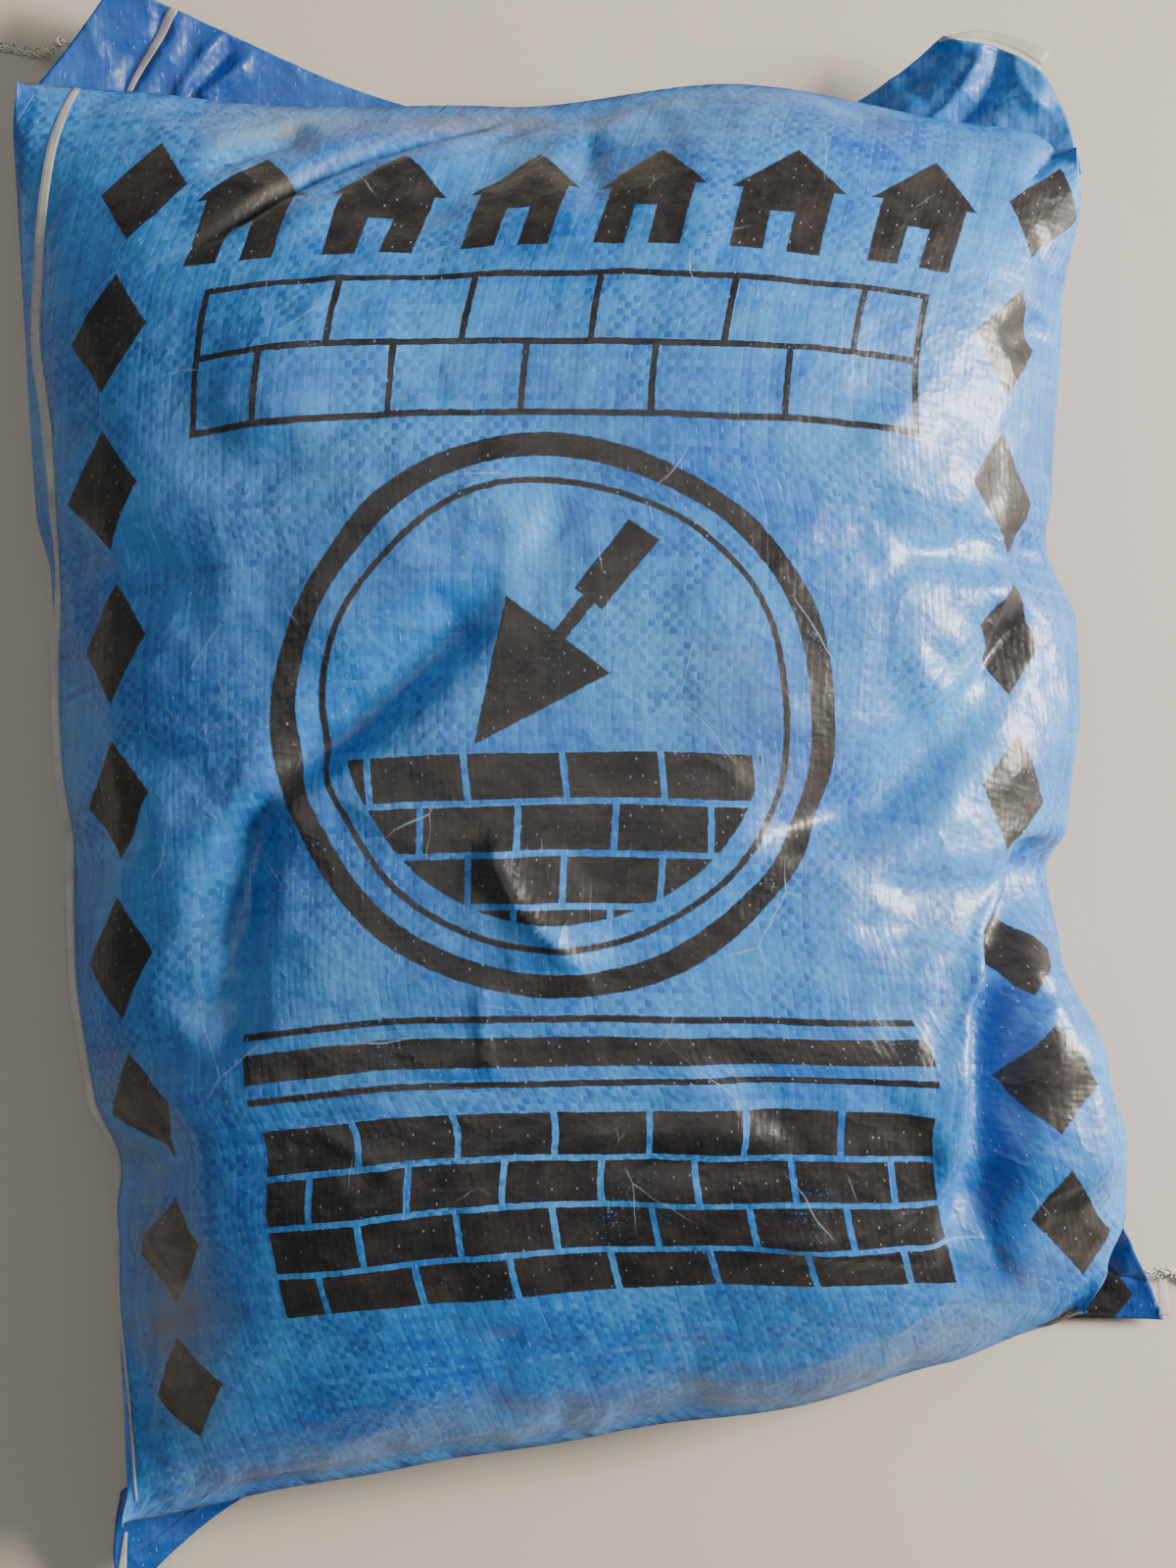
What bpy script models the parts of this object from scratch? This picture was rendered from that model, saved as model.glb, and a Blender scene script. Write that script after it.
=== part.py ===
"""Cement bag: a filled woven sack lying flat, both sewn ends tucked underneath.

Metres, X across the bag, Y along it, Z up. The origin is at the middle of its
bounding box, on the surface that it lies on.
"""
import math

import bmesh
import bpy
from mathutils import Vector
from mathutils.geometry import interpolate_bezier

# The filled body, seen from above
TOP_WIDTH = 0.374
TOP_DROP = 0.019
LEFT_LENGTH = 0.508
LEFT_LEAN = 0.037
BOTTOM_WIDTH = 0.337
BOTTOM_RISE = 0.074

# How far each edge stands out from the straight line between its corners:
# (part of the way along the edge, distance outwards)
TOP_BOWS = ((0.1, -0.001), (0.24, -0.0035), (0.45, 0.0005), (0.68, 0.0125), (0.93, 0.002))
BOTTOM_BOWS = ((0.15, 0.0005), (0.3, 0.0025), (0.5, 0.0058), (0.7, 0.0107), (0.85, 0.007), (0.96, 0.002))
CORNER_TUCK = 0.005
CORNER_TUCK_REACH = 0.014
LEFT_BOWS = (
    (0.04, 0.0025), (0.3, 0.0035), (0.345, 0.000), (0.48, 0.0028), (0.53, 0.001), (0.62, 0.002),
    (0.70, -0.0015), (0.745, -0.0085), (0.8, -0.0055), (0.9, -0.004), (0.97, -0.003),
)
RIGHT_BOWS = (
    (0.05, -0.001), (0.15, -0.008), (0.3, -0.0115), (0.345, -0.014), (0.42, -0.003), (0.48, -0.002),
    (0.585, -0.006), (0.62, -0.0135), (0.69, -0.009), (0.78, 0.0055), (0.85, 0.0145), (0.91, 0.0145),
    (0.96, 0.008),
)

# The filled body, seen from its side: rounded across like a tube, and a wedge
# down to each folded end
THICKNESS = 0.1045
SIDE_RIM_HEIGHT = 0.040
END_RIM_HEIGHT = 0.032
RIM_BAND = 0.012
UNDERSIDE_CURVE = 0.045
DOME_ACROSS = 2.5
WEDGE_LENGTH = 0.130
WEDGE_ROUNDING = 2.2
FACE_SIZE = 0.0105
PROFILE_SAMPLES = 400

# Main folds of the upper face: points as parts of the width and of the length,
# counted from the top left corner, then half width and height, negative in a
# valley. A fold fades and narrows over FOLD_FADE of its length at each end, and
# fades near the rim.
FOLDS = (
    (((0.46, 0.35), (0.41, 0.39), (0.36, 0.42), (0.31, 0.45), (0.25, 0.48), (0.21, 0.51)), 0.012, -0.009),
    (((0.23, 0.49), (0.20, 0.53), (0.18, 0.58), (0.18, 0.62), (0.14, 0.69)), 0.011, -0.008),
    (((0.45, 0.19), (0.39, 0.22), (0.33, 0.24), (0.26, 0.27), (0.20, 0.29)), 0.011, -0.003),
    (((0.52, 0.28), (0.42, 0.32), (0.33, 0.37), (0.22, 0.41)), 0.022, 0.004),
    (((0.51, 0.04), (0.45, 0.05), (0.39, 0.08), (0.33, 0.11), (0.27, 0.16)), 0.014, -0.0045),
    (((0.37, 0.09), (0.31, 0.15), (0.27, 0.21), (0.23, 0.29)), 0.024, 0.004),
    (((0.99, 0.37), (0.93, 0.42), (0.89, 0.46), (0.85, 0.50), (0.80, 0.54), (0.73, 0.56), (0.66, 0.57)),
     0.015, -0.012),
    (((0.95, 0.36), (0.90, 0.41), (0.86, 0.45), (0.80, 0.48)), 0.012, 0.004),
    (((0.98, 0.58), (0.97, 0.63), (0.93, 0.66), (0.91, 0.70)), 0.011, -0.010),
    (((0.93, 0.66), (0.91, 0.71), (0.88, 0.76), (0.86, 0.82), (0.83, 0.86), (0.80, 0.91)), 0.011, -0.013),
    (((0.93, 0.57), (0.91, 0.63), (0.86, 0.69), (0.82, 0.75), (0.80, 0.82)), 0.012, 0.0045),
    (((0.96, 0.65), (0.96, 0.71), (0.96, 0.77), (0.95, 0.84), (0.93, 0.91)), 0.014, 0.008),
    (((0.06, 0.68), (0.06, 0.74), (0.07, 0.80), (0.06, 0.87)), 0.011, -0.006),
    (((0.24, 0.90), (0.41, 0.91), (0.56, 0.92), (0.71, 0.90)), 0.015, -0.003),
    (((0.79, 0.25), (0.85, 0.29), (0.93, 0.33)), 0.017, 0.0035),
    (((0.63, 0.36), (0.66, 0.44), (0.74, 0.50)), 0.018, 0.003),
    (((0.12, 0.35), (0.14, 0.48), (0.11, 0.62)), 0.015, 0.003),
    (((0.41, 0.53), (0.45, 0.59), (0.53, 0.67)), 0.014, 0.004),
)
FOLD_FADE = 0.25
FOLD_TIP_WIDTH = 0.45
FOLD_RIM_MARGIN = 0.007

# The tucked ends: rows of points from the left fold of the sack to its right
# one. A point is (part of the way along the body's edge, distance out from
# that edge, height), on the hem, half way in, and under the body.
CLOTH_PLY = 0.003
TOP_HEM = (
    (0.079, 0.040, 0.022), (0.141, 0.032, 0.014), (0.235, 0.019, 0.008), (0.326, 0.006, 0.003),
    (0.556, -0.009, 0.0015), (0.725, 0.001, 0.0015), (0.805, 0.014, 0.008), (0.867, 0.034, 0.028),
)
TOP_MIDDLE = (
    (0.039, 0.017, 0.018), (0.122, -0.002, 0.012), (0.215, -0.013, 0.006), (0.330, -0.024, 0.0015),
    (0.559, -0.038, 0.0015), (0.747, -0.024, 0.004), (0.866, 0.003, 0.036), (0.969, 0.029, 0.030),
)
TOP_INNER = (
    (-0.001, -0.006, 0.026), (0.097, -0.031, 0.012), (0.200, -0.045, 0.004), (0.333, -0.053, 0.0015),
    (0.563, -0.066, 0.0015), (0.788, -0.048, 0.004), (0.947, -0.020, 0.024), (1.002, -0.014, 0.036),
)
BOTTOM_HEM = (
    (-0.034, 0.034, 0.010), (0.006, 0.022, 0.008), (0.072, 0.010, 0.005), (0.156, -0.001, 0.002),
    (0.488, -0.004, 0.0015), (0.805, -0.006, 0.0015), (0.968, 0.0035, 0.003), (1.093, 0.014, 0.004),
)
BOTTOM_MIDDLE = (
    (-0.034, 0.015, 0.014), (0.033, 0.003, 0.010), (0.111, -0.008, 0.005), (0.212, -0.018, 0.002),
    (0.501, -0.025, 0.0015), (0.799, -0.028, 0.0015), (0.964, -0.023, 0.003), (1.084, -0.004, 0.008),
)
BOTTOM_INNER = (
    (-0.003, -0.010, 0.024), (0.071, -0.023, 0.012), (0.149, -0.034, 0.004), (0.249, -0.044, 0.0015),
    (0.517, -0.049, 0.0015), (0.794, -0.054, 0.0015), (0.959, -0.049, 0.004), (1.062, -0.0295, 0.024),
)

# The sewing thread: a chain of stitches along each hem, and its loose tails
STITCH_RADIUS = 0.0006
STITCH_HEIGHT = 0.00075
STITCH_GAP = 0.0003
STITCH_POINTS = 48
TAIL_RADIUS = 0.0006
TAIL_POINT_SPACING = 0.0016
TAIL_STRAIGHT = 0.0034
# Routes from the fold of the sack outwards: (X and Y from the end of the
# stitching, height)
TOP_TAIL_ROUTE = (
    (-0.008, 0.0006, 0.0110), (-0.013, 0.0010, 0.0040), (-0.018, 0.0020, 0.0010),
    (-0.026, 0.0038, 0.0008), (-0.034, 0.0040, 0.0008), (-0.041, 0.0018, 0.0008),
    (-0.048, -0.0016, 0.0008), (-0.056, -0.0030, 0.0008),
)
BOTTOM_TAIL_ROUTE = (
    (0.008, -0.0004, 0.0080), (0.012, -0.0020, 0.0024), (0.017, -0.0052, 0.0008),
    (0.023, -0.0104, 0.0008), (0.030, -0.0148, 0.0008), (0.038, -0.0156, 0.0008),
    (0.046, -0.0130, 0.0008), (0.053, -0.0100, 0.0008),
)

BLUE_CLOTH = (0.047, 0.223, 0.515, 1.0)
CREAM_THREAD = (0.73, 0.66, 0.52, 1.0)


def clear_scene():
    """Start from an empty scene."""
    for thing in list(bpy.data.objects):
        bpy.data.objects.remove(thing)


def new_collection(name):
    """Make a collection in the scene."""
    collection = bpy.data.collections.new(name)
    bpy.context.scene.collection.children.link(collection)
    return collection


def material(name, colour, roughness):
    """Make a plain material for one kind of surface."""
    made = bpy.data.materials.new(name)
    made.use_nodes = True
    shader = made.node_tree.nodes["Principled BSDF"]
    shader.inputs["Base Color"].default_value = colour
    shader.inputs["Roughness"].default_value = roughness
    shader.inputs["Metallic"].default_value = 0.0
    return made


def add_object(name, data, collection):
    """Put a mesh or curve in a collection as a named object."""
    made = bpy.data.objects.new(name, data)
    collection.objects.link(made)
    return made


def as_guide(thing):
    """Keep an object out of the model: it only cuts or joins another."""
    thing.hide_render = True
    thing.display_type = "WIRE"


def smooth_path(points, steps):
    """Read a smooth curve through the points, with equal steps between them."""
    knots = [Vector(point) for point in points]
    ends = [2 * knots[0] - knots[1]] + knots + [2 * knots[-1] - knots[-2]]
    path = []
    for index in range(len(knots) - 1):
        before, start, end, after = ends[index:index + 4]
        piece = interpolate_bezier(start, start + (end - before) / 6, end - (after - start) / 6, end, steps + 1)
        path.extend(piece[:-1])
    path.append(knots[-1])
    return path


def evenly_spaced(path, count):
    """Read a path again at points that lie equally far apart."""
    lengths = [0.0]
    for start, end in zip(path, path[1:]):
        lengths.append(lengths[-1] + (end - start).length)
    even = []
    segment = 0
    for index in range(count):
        wanted = lengths[-1] * index / (count - 1)
        while segment < len(path) - 2 and lengths[segment + 1] < wanted:
            segment += 1
        part = (wanted - lengths[segment]) / (lengths[segment + 1] - lengths[segment])
        even.append(path[segment].lerp(path[segment + 1], part))
    return even


def corners():
    """The four corners of the filled body: top left, top right, bottom left, bottom right."""
    top_left = Vector((-TOP_WIDTH / 2, LEFT_LENGTH / 2))
    top_right = top_left + Vector((TOP_WIDTH, -TOP_DROP))
    bottom_left = top_left + Vector((LEFT_LEAN, -LEFT_LENGTH))
    bottom_right = bottom_left + Vector((BOTTOM_WIDTH, BOTTOM_RISE))
    return top_left, top_right, bottom_left, bottom_right


def bow(bows, part):
    """Distance of an edge from its straight line, part of the way along it."""
    knots = ((0.0, 0.0),) + bows + ((1.0, 0.0),)
    for (start, low), (end, high) in zip(knots, knots[1:]):
        if part <= end:
            share = (part - start) / (end - start)
            return low + (high - low) * (3 - 2 * share) * share * share
    return 0.0


def edge_point(start, end, bows, part, side):
    """A point of a bowed edge; side is 1 or -1 for the side that faces out."""
    along = end - start
    outwards = Vector((-along.y, along.x)).normalized() * side
    return start + along * part + outwards * bow(bows, part)


def outline_point(across, down):
    """A point of the body seen from above, from its parts across and down (0 to 1)."""
    top_left, top_right, bottom_left, bottom_right = corners()
    top = edge_point(top_left, top_right, TOP_BOWS, across, 1)
    bottom = edge_point(bottom_left, bottom_right, BOTTOM_BOWS, across, -1)
    left = edge_point(top_left, bottom_left, LEFT_BOWS, down, -1)
    right = edge_point(top_right, bottom_right, RIGHT_BOWS, down, 1)
    flat = top_left.lerp(top_right, across).lerp(bottom_left.lerp(bottom_right, across), down)
    point = top.lerp(bottom, down) + left.lerp(right, across) - flat
    tuck = CORNER_TUCK * math.exp(-(((point - top_right).length / CORNER_TUCK_REACH) ** 2))
    return point - (top_right - bottom_left).normalized() * tuck


def fold_lines():
    """The main folds as lines seen from above, each with its half width and height."""
    return [([outline_point(*part) for part in parts], width, height) for parts, width, height in FOLDS]


def nearest_on_line(line, place):
    """Distance from a line to a place, and the part of the line's length at the nearest point."""
    whole = sum((end - start).length for start, end in zip(line, line[1:]))
    nearest = math.inf
    part = 0.0
    passed = 0.0
    for start, end in zip(line, line[1:]):
        run = end - start
        share = min(1.0, max(0.0, (place - start).dot(run) / run.length_squared))
        distance = (place - start - run * share).length
        if distance < nearest:
            nearest = distance
            part = (passed + run.length * share) / whole
        passed += run.length
    return nearest, part


def fold_height(folds, place):
    """How far the folds lift the upper face at a place seen from above."""
    lift = 0.0
    for line, width, height in folds:
        distance, part = nearest_on_line(line, place)
        fade = min(1.0, min(part, 1 - part) / FOLD_FADE)
        fade = fade * fade * (3 - 2 * fade)
        reach = width * (FOLD_TIP_WIDTH + (1 - FOLD_TIP_WIDTH) * fade)
        lift += height * fade * math.exp(-((distance / reach) ** 2))
    return lift


def rim_height(across, down):
    """Height of the body's widest line: lower at the folded ends than at the sides."""
    to_side = min(across, 1 - across)
    to_end = min(down, 1 - down)
    share = to_end / (to_side + to_end) if to_side + to_end else 0.5
    return END_RIM_HEIGHT + (SIDE_RIM_HEIGHT - END_RIM_HEIGHT) * share


def distance_to_side(across):
    """About how far a point lies from the nearer long side of the body."""
    return min(across, 1 - across) * (TOP_WIDTH + BOTTOM_WIDTH) / 2


def distance_to_end(down):
    """About how far a point lies from the nearer folded end of the body."""
    return min(down, 1 - down) * (LEFT_LENGTH - BOTTOM_RISE / 2)


def top_height(across, down):
    """Height of the body's upper face."""
    low = rim_height(across, down) + RIM_BAND / 2
    side = max(0.0, 1 - abs(2 * across - 1) ** DOME_ACROSS) ** 0.5
    end = 1 - (1 - min(1.0, distance_to_end(down) / WEDGE_LENGTH)) ** WEDGE_ROUNDING
    return low + (THICKNESS - low) * side * end


def under_height(across, down):
    """Height of the body's under face: flat, and curved up to the rim at the edges."""
    rim = rim_height(across, down) - RIM_BAND / 2
    rise = 1.0
    for distance in (distance_to_side(across), distance_to_end(down)):
        share = min(1.0, distance / UNDERSIDE_CURVE)
        rise *= math.sqrt(1 - (1 - share) ** 2)
    return rim * (1 - rise)


def upper_point(across, down):
    """A point of the upper face before its folds."""
    return Vector((*outline_point(across, down), top_height(across, down)))


def folded_point(folds, across, down):
    """A point of the upper face, moved by the folds square to that face."""
    point = upper_point(across, down)
    step = 0.005
    to_right = upper_point(min(1.0, across + step), down) - upper_point(max(0.0, across - step), down)
    to_top = upper_point(across, max(0.0, down - step)) - upper_point(across, min(1.0, down + step))
    outwards = to_right.cross(to_top).normalized()
    to_rim = min(distance_to_side(across), distance_to_end(down))
    hold = min(1.0, to_rim / FOLD_RIM_MARGIN) ** 0.7
    return point + outwards * fold_height(folds, point.xy) * hold


def evenly_spread(profile, length):
    """Parts of a length at which points lie evenly along a curved profile of heights."""
    samples = PROFILE_SAMPLES
    passed = [0.0]
    for index in range(samples):
        rise = profile((index + 1) / samples) - profile(index / samples)
        passed.append(passed[-1] + math.hypot(length / samples, rise))
    count = round(passed[-1] / FACE_SIZE)
    parts = []
    index = 0
    for number in range(count + 1):
        wanted = passed[-1] * number / count
        while index < samples - 1 and passed[index + 1] < wanted:
            index += 1
        share = (wanted - passed[index]) / (passed[index + 1] - passed[index])
        parts.append((index + share) / samples)
    return parts


def make_body(collection, cloth):
    """The filled body: an upper and an under sheet joined at the rim."""
    columns = evenly_spread(lambda part: top_height(part, 0.5), (TOP_WIDTH + BOTTOM_WIDTH) / 2)
    rows = evenly_spread(lambda part: top_height(0.5, part), LEFT_LENGTH - BOTTOM_RISE / 2)
    folds = fold_lines()
    shape = bmesh.new()
    bmesh.ops.create_grid(shape, x_segments=len(columns) - 1, y_segments=len(rows) - 1, size=1.0)
    upper = list(shape.verts)
    extruded = bmesh.ops.extrude_face_region(shape, geom=shape.faces[:])
    lower = [item for item in extruded["geom"] if isinstance(item, bmesh.types.BMVert)]
    for sheet in (upper, lower):
        for vertex in sheet:
            across = columns[round((1 + vertex.co.x) / 2 * (len(columns) - 1))]
            down = rows[round((1 - vertex.co.y) / 2 * (len(rows) - 1))]
            if sheet is upper:
                vertex.co = folded_point(folds, across, down)
            else:
                vertex.co = (*outline_point(across, down), under_height(across, down))
    bmesh.ops.recalc_face_normals(shape, faces=shape.faces)
    mesh = bpy.data.meshes.new("sack")
    shape.to_mesh(mesh)
    shape.free()
    mesh.materials.append(cloth)
    mesh.shade_smooth()
    return add_object("sack", mesh, collection)


def subdivide(thing):
    """Round a cage with one level of Subdivision Surface."""
    rounding = thing.modifiers.new("rounding", "SUBSURF")
    rounding.levels = 1
    rounding.render_levels = 1
    rounding.boundary_smooth = "PRESERVE_CORNERS"


def place_row(row, start, end, side):
    """Points of a tucked end, from their places along and out from the body's edge."""
    along = end - start
    outwards = Vector((-along.y, along.x)).normalized() * side
    return [Vector((*(start + along * part + outwards * out), height)) for part, out, height in row]


def make_tucked_end(name, rows, collection):
    """One unfilled end of the sack, a flat band with its corners sticking out."""
    shape = bmesh.new()
    count = len(rows[0])
    bmesh.ops.create_grid(shape, x_segments=count - 1, y_segments=len(rows) - 1, size=1.0)
    for vertex in shape.verts:
        station = round((vertex.co.x + 1) / 2 * (count - 1))
        row = round((vertex.co.y + 1) / 2 * (len(rows) - 1))
        vertex.co = rows[row][station]
    bmesh.ops.recalc_face_normals(shape, faces=shape.faces)
    mesh = bpy.data.meshes.new(name)
    shape.to_mesh(mesh)
    shape.free()
    band = add_object(name, mesh, collection)
    subdivide(band)
    ply = band.modifiers.new("ply", "SOLIDIFY")
    ply.thickness = CLOTH_PLY
    ply.offset = 0.0
    as_guide(band)
    return band


def rounded_middle(rows):
    """The middle row of a tucked end, drawn in as far as its rounding draws it in."""
    across = [(hem + 6 * middle + inner) / 8 for hem, middle, inner in zip(*rows)]
    inside = [(before + 6 * point + after) / 8 for before, point, after in zip(across, across[1:], across[2:])]
    return [across[0]] + inside + [across[-1]]


def stitch_path(rows):
    """Line of the stitching, on the face of the hem that lies on the floor."""
    path = evenly_spaced(smooth_path(rounded_middle(rows), 12), STITCH_POINTS)
    below = CLOTH_PLY / 2 + STITCH_GAP + STITCH_RADIUS
    return [Vector((point.x, point.y, max(STITCH_HEIGHT, point.z - below))) for point in path]


def tube(name, path, radius, collection):
    """A round thread or cutter along a path, with closed ends."""
    curve = bpy.data.curves.new(name, "CURVE")
    curve.dimensions = "3D"
    curve.bevel_depth = radius
    curve.bevel_resolution = 2
    curve.use_fill_caps = True
    spline = curve.splines.new("POLY")
    spline.points.add(len(path) - 1)
    for point, place in zip(spline.points, path):
        point.co = (*place, 1.0)
    return add_object(name, curve, collection)


def tube_mesh(name, path, radius, collection):
    """A tube made a welded mesh, so that it can cut."""
    curve = tube(name + "_line", path, radius, collection)
    bpy.context.view_layer.update()
    evaluated = curve.evaluated_get(bpy.context.evaluated_depsgraph_get())
    mesh = bpy.data.meshes.new_from_object(evaluated)
    shape = bmesh.new()
    shape.from_mesh(mesh)
    bmesh.ops.remove_doubles(shape, verts=shape.verts, dist=0.00001)
    bmesh.ops.recalc_face_normals(shape, faces=shape.faces)
    shape.to_mesh(mesh)
    shape.free()
    made = add_object(name, mesh, collection)
    made.matrix_world = curve.matrix_world
    bpy.data.objects.remove(curve)
    as_guide(made)
    return made


def combine(thing, other, operation):
    """Join another shape to a solid, or cut it away."""
    joining = thing.modifiers.new(other.name, "BOOLEAN")
    joining.operation = operation
    joining.solver = "EXACT"
    joining.object = other


def tail_path(stitch_end, leaving, route):
    """Smooth path of a loose tail that carries on from the end of the stitching."""
    start = stitch_end + leaving * STITCH_GAP
    straight = start + leaving * TAIL_STRAIGHT
    points = [start, straight] + [Vector((start.x + x, start.y + y, z)) for x, y, z in route]
    smooth = smooth_path(points, 12)
    length = sum((end - begin).length for begin, end in zip(smooth, smooth[1:]))
    return evenly_spaced(smooth, round(length / TAIL_POINT_SPACING))


def set_origin(things, measured):
    """Move everything so that the measured solids stand centred on the origin."""
    bpy.context.view_layer.update()
    depsgraph = bpy.context.evaluated_depsgraph_get()
    places = []
    for thing in measured:
        evaluated = thing.evaluated_get(depsgraph)
        mesh = evaluated.to_mesh()
        places.extend(thing.matrix_world @ vertex.co for vertex in mesh.vertices)
        evaluated.to_mesh_clear()
    low = Vector([min(place[axis] for place in places) for axis in range(3)])
    high = Vector([max(place[axis] for place in places) for axis in range(3)])
    shift = Vector((-(low.x + high.x) / 2, -(low.y + high.y) / 2, -low.z))
    for thing in things:
        thing.location += shift
    print("origin shift", [round(value, 5) for value in shift])


def build():
    """Make every piece of the bag."""
    clear_scene()
    bag = new_collection("cement_bag")
    guides = new_collection("guides")
    cloth = material("blue_laminated_weave", BLUE_CLOTH, 0.38)
    thread = material("cream_sewing_thread", CREAM_THREAD, 0.85)

    sack = make_body(bag, cloth)
    top_left, top_right, bottom_left, bottom_right = corners()
    top_rows = [place_row(row, top_left, top_right, 1) for row in (TOP_HEM, TOP_MIDDLE, TOP_INNER)]
    bottom_rows = [
        place_row(row, bottom_left, bottom_right, -1) for row in (BOTTOM_HEM, BOTTOM_MIDDLE, BOTTOM_INNER)
    ]
    combine(sack, make_tucked_end("tucked_top", top_rows, guides), "UNION")
    combine(sack, make_tucked_end("tucked_bottom", bottom_rows, guides), "UNION")

    threads = []
    seams = (
        ("top", top_rows, 0, TOP_TAIL_ROUTE),
        ("bottom", bottom_rows, -1, BOTTOM_TAIL_ROUTE),
    )
    for name, rows, end, route in seams:
        path = stitch_path(rows)
        threads.append(tube(name + "_stitching", path, STITCH_RADIUS, bag))
        groove = [point - Vector((0.0, 0.0, STITCH_GAP / 2)) for point in path]
        cutter = tube_mesh(name + "_groove", groove, STITCH_RADIUS + 1.5 * STITCH_GAP, guides)
        combine(sack, cutter, "DIFFERENCE")
        leaving = (path[end] - path[1 if end == 0 else -2]).normalized()
        tail = tail_path(path[end], leaving, route)
        threads.append(tube(name + "_thread_tail", tail, TAIL_RADIUS, bag))
    for piece in threads:
        piece.data.materials.append(thread)

    guides_made = list(guides.objects)
    set_origin([sack] + threads + guides_made, [sack, threads[0], threads[2]])


build()
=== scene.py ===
"""Looks of the cement bag: laminated woven sack, its sewn ends, film edges and sewing thread.

Every size is in metres unless its name ends in _mm. The bag lies on its back on
the floor, with its printed face up and its top end towards +Y.
"""

import logging
import math
from collections.abc import Sequence
from dataclasses import dataclass, field, replace
from enum import Enum

import bmesh
import bpy
import numpy as np
from bpy.types import Material, Mesh, Node, NodeSocket, NodeTree, Object
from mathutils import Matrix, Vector, kdtree, noise
from mathutils.geometry import interpolate_bezier


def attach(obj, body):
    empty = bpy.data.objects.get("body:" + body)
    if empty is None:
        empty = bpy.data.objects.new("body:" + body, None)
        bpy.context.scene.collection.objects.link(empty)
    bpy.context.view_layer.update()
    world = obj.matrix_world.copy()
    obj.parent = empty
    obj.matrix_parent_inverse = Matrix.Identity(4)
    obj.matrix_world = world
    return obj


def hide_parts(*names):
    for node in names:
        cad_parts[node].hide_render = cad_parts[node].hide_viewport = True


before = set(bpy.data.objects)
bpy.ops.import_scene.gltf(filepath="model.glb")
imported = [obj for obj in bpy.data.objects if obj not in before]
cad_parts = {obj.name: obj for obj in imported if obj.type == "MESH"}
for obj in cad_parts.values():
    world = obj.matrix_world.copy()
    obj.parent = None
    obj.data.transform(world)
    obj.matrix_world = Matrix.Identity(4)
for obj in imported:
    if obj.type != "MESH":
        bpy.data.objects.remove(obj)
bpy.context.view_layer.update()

LOG = logging.getLogger("cement_bag")
MM = 0.001
MATH = "ShaderNodeMath"
VECTOR = "ShaderNodeVectorMath"
NOISE = "ShaderNodeTexNoise"
BLEND = "ShaderNodeMix"
REMAP = "ShaderNodeMapRange"
PLACE = "ShaderNodeMapping"
Array = np.ndarray
Point = tuple[float, float]
Place = tuple[float, float, float]
Knots = tuple[Point, ...]
Row = tuple[Place, ...]


class Fold(Enum):
    """How the cloth is bent along a fold line."""

    VALLEY = "soft hollow"
    SWELL = "soft rise"
    CREASE = "sharp hollow"
    RIDGE = "sharp rise"
    STEP = "one side higher than the other"


def add(tree: NodeTree, kind: str, *inputs, named: dict | None = None, **settings) -> Node:
    """Add one node to a material, with its settings, values and links.

    Args:
        tree: The material's node tree.
        kind: Blender's name for the node's type.
        *inputs: What the first inputs get, in order: a value, a socket, a node
            for its first output, or None to leave the input alone.
        named: The same for other inputs, by their name or number.
        **settings: Properties of the node itself.

    Returns:
        The new node.
    """
    node = tree.nodes.new(kind)
    for name, value in settings.items():
        setattr(node, name, value)
    for place, value in [*enumerate(inputs), *(named or {}).items()]:
        if isinstance(value, Node):
            value = value.outputs[0]
        if isinstance(value, NodeSocket):
            tree.links.new(value, node.inputs[place])
        elif value is not None:
            node.inputs[place].default_value = value
    return node


def linear(hex_colour: str) -> tuple[float, float, float, float]:
    """Turn an sRGB hex colour into linear values.

    Args:
        hex_colour: Six hex digits.

    Returns:
        Red, green, blue and alpha, as Blender's sockets take them.
    """
    channels = []
    for start in (0, 2, 4):
        value = int(hex_colour[start:start + 2], 16) / 255
        channels.append(value / 12.92 if value <= 0.04045 else ((value + 0.055) / 1.055) ** 2.4)
    return (*channels, 1.0)


def smooth_curve(points: Sequence, steps: int) -> list[Vector]:
    """Read a smooth curve that passes through some points.

    Args:
        points: The points, two or three numbers each.
        steps: How many pieces each span is cut into.

    Returns:
        The points of the curve.
    """
    knots = [Vector((*point, 0.0)) if len(point) == 2 else Vector(point) for point in points]
    ends = [2 * knots[0] - knots[1]] + knots + [2 * knots[-1] - knots[-2]]
    path = []
    for index in range(len(knots) - 1):
        before, start, end, after = ends[index:index + 4]
        handle, return_handle = (end - before) / 6, (after - start) / 6
        path.extend(interpolate_bezier(start, start + handle, end - return_handle, end, steps + 1)[:-1])
    path.append(knots[-1])
    return path


def path_length(path: list[Vector]) -> float:
    """Length of a path along its points."""
    return sum((end - start).length for start, end in zip(path, path[1:]))


def evenly_spaced(path: list[Vector], count: int) -> list[Vector]:
    """Read a path again at points that lie equally far apart.

    Args:
        path: The points of the path.
        count: How many points to return.

    Returns:
        The evenly spaced points.
    """
    places = np.array(path)
    lengths = np.concatenate([[0.0], np.cumsum(np.linalg.norm(np.diff(places, axis=0), axis=1))])
    wanted = np.linspace(0.0, lengths[-1], count)
    columns = [np.interp(wanted, lengths, places[:, axis]) for axis in range(3)]
    return [Vector(point) for point in zip(*columns)]


def link_mesh(name: str, mesh: Mesh, material: Material) -> Object:
    """Put a mesh in the scene as a named piece that rides on the bag's one body.

    Args:
        name: The piece's name.
        mesh: Its mesh, with its place in its vertices.
        material: Its finish.

    Returns:
        The new object.
    """
    mesh.materials.clear()
    mesh.materials.append(material)
    piece = bpy.data.objects.new(name, mesh)
    bpy.context.scene.collection.objects.link(piece)
    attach(piece, "root")
    return piece


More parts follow.
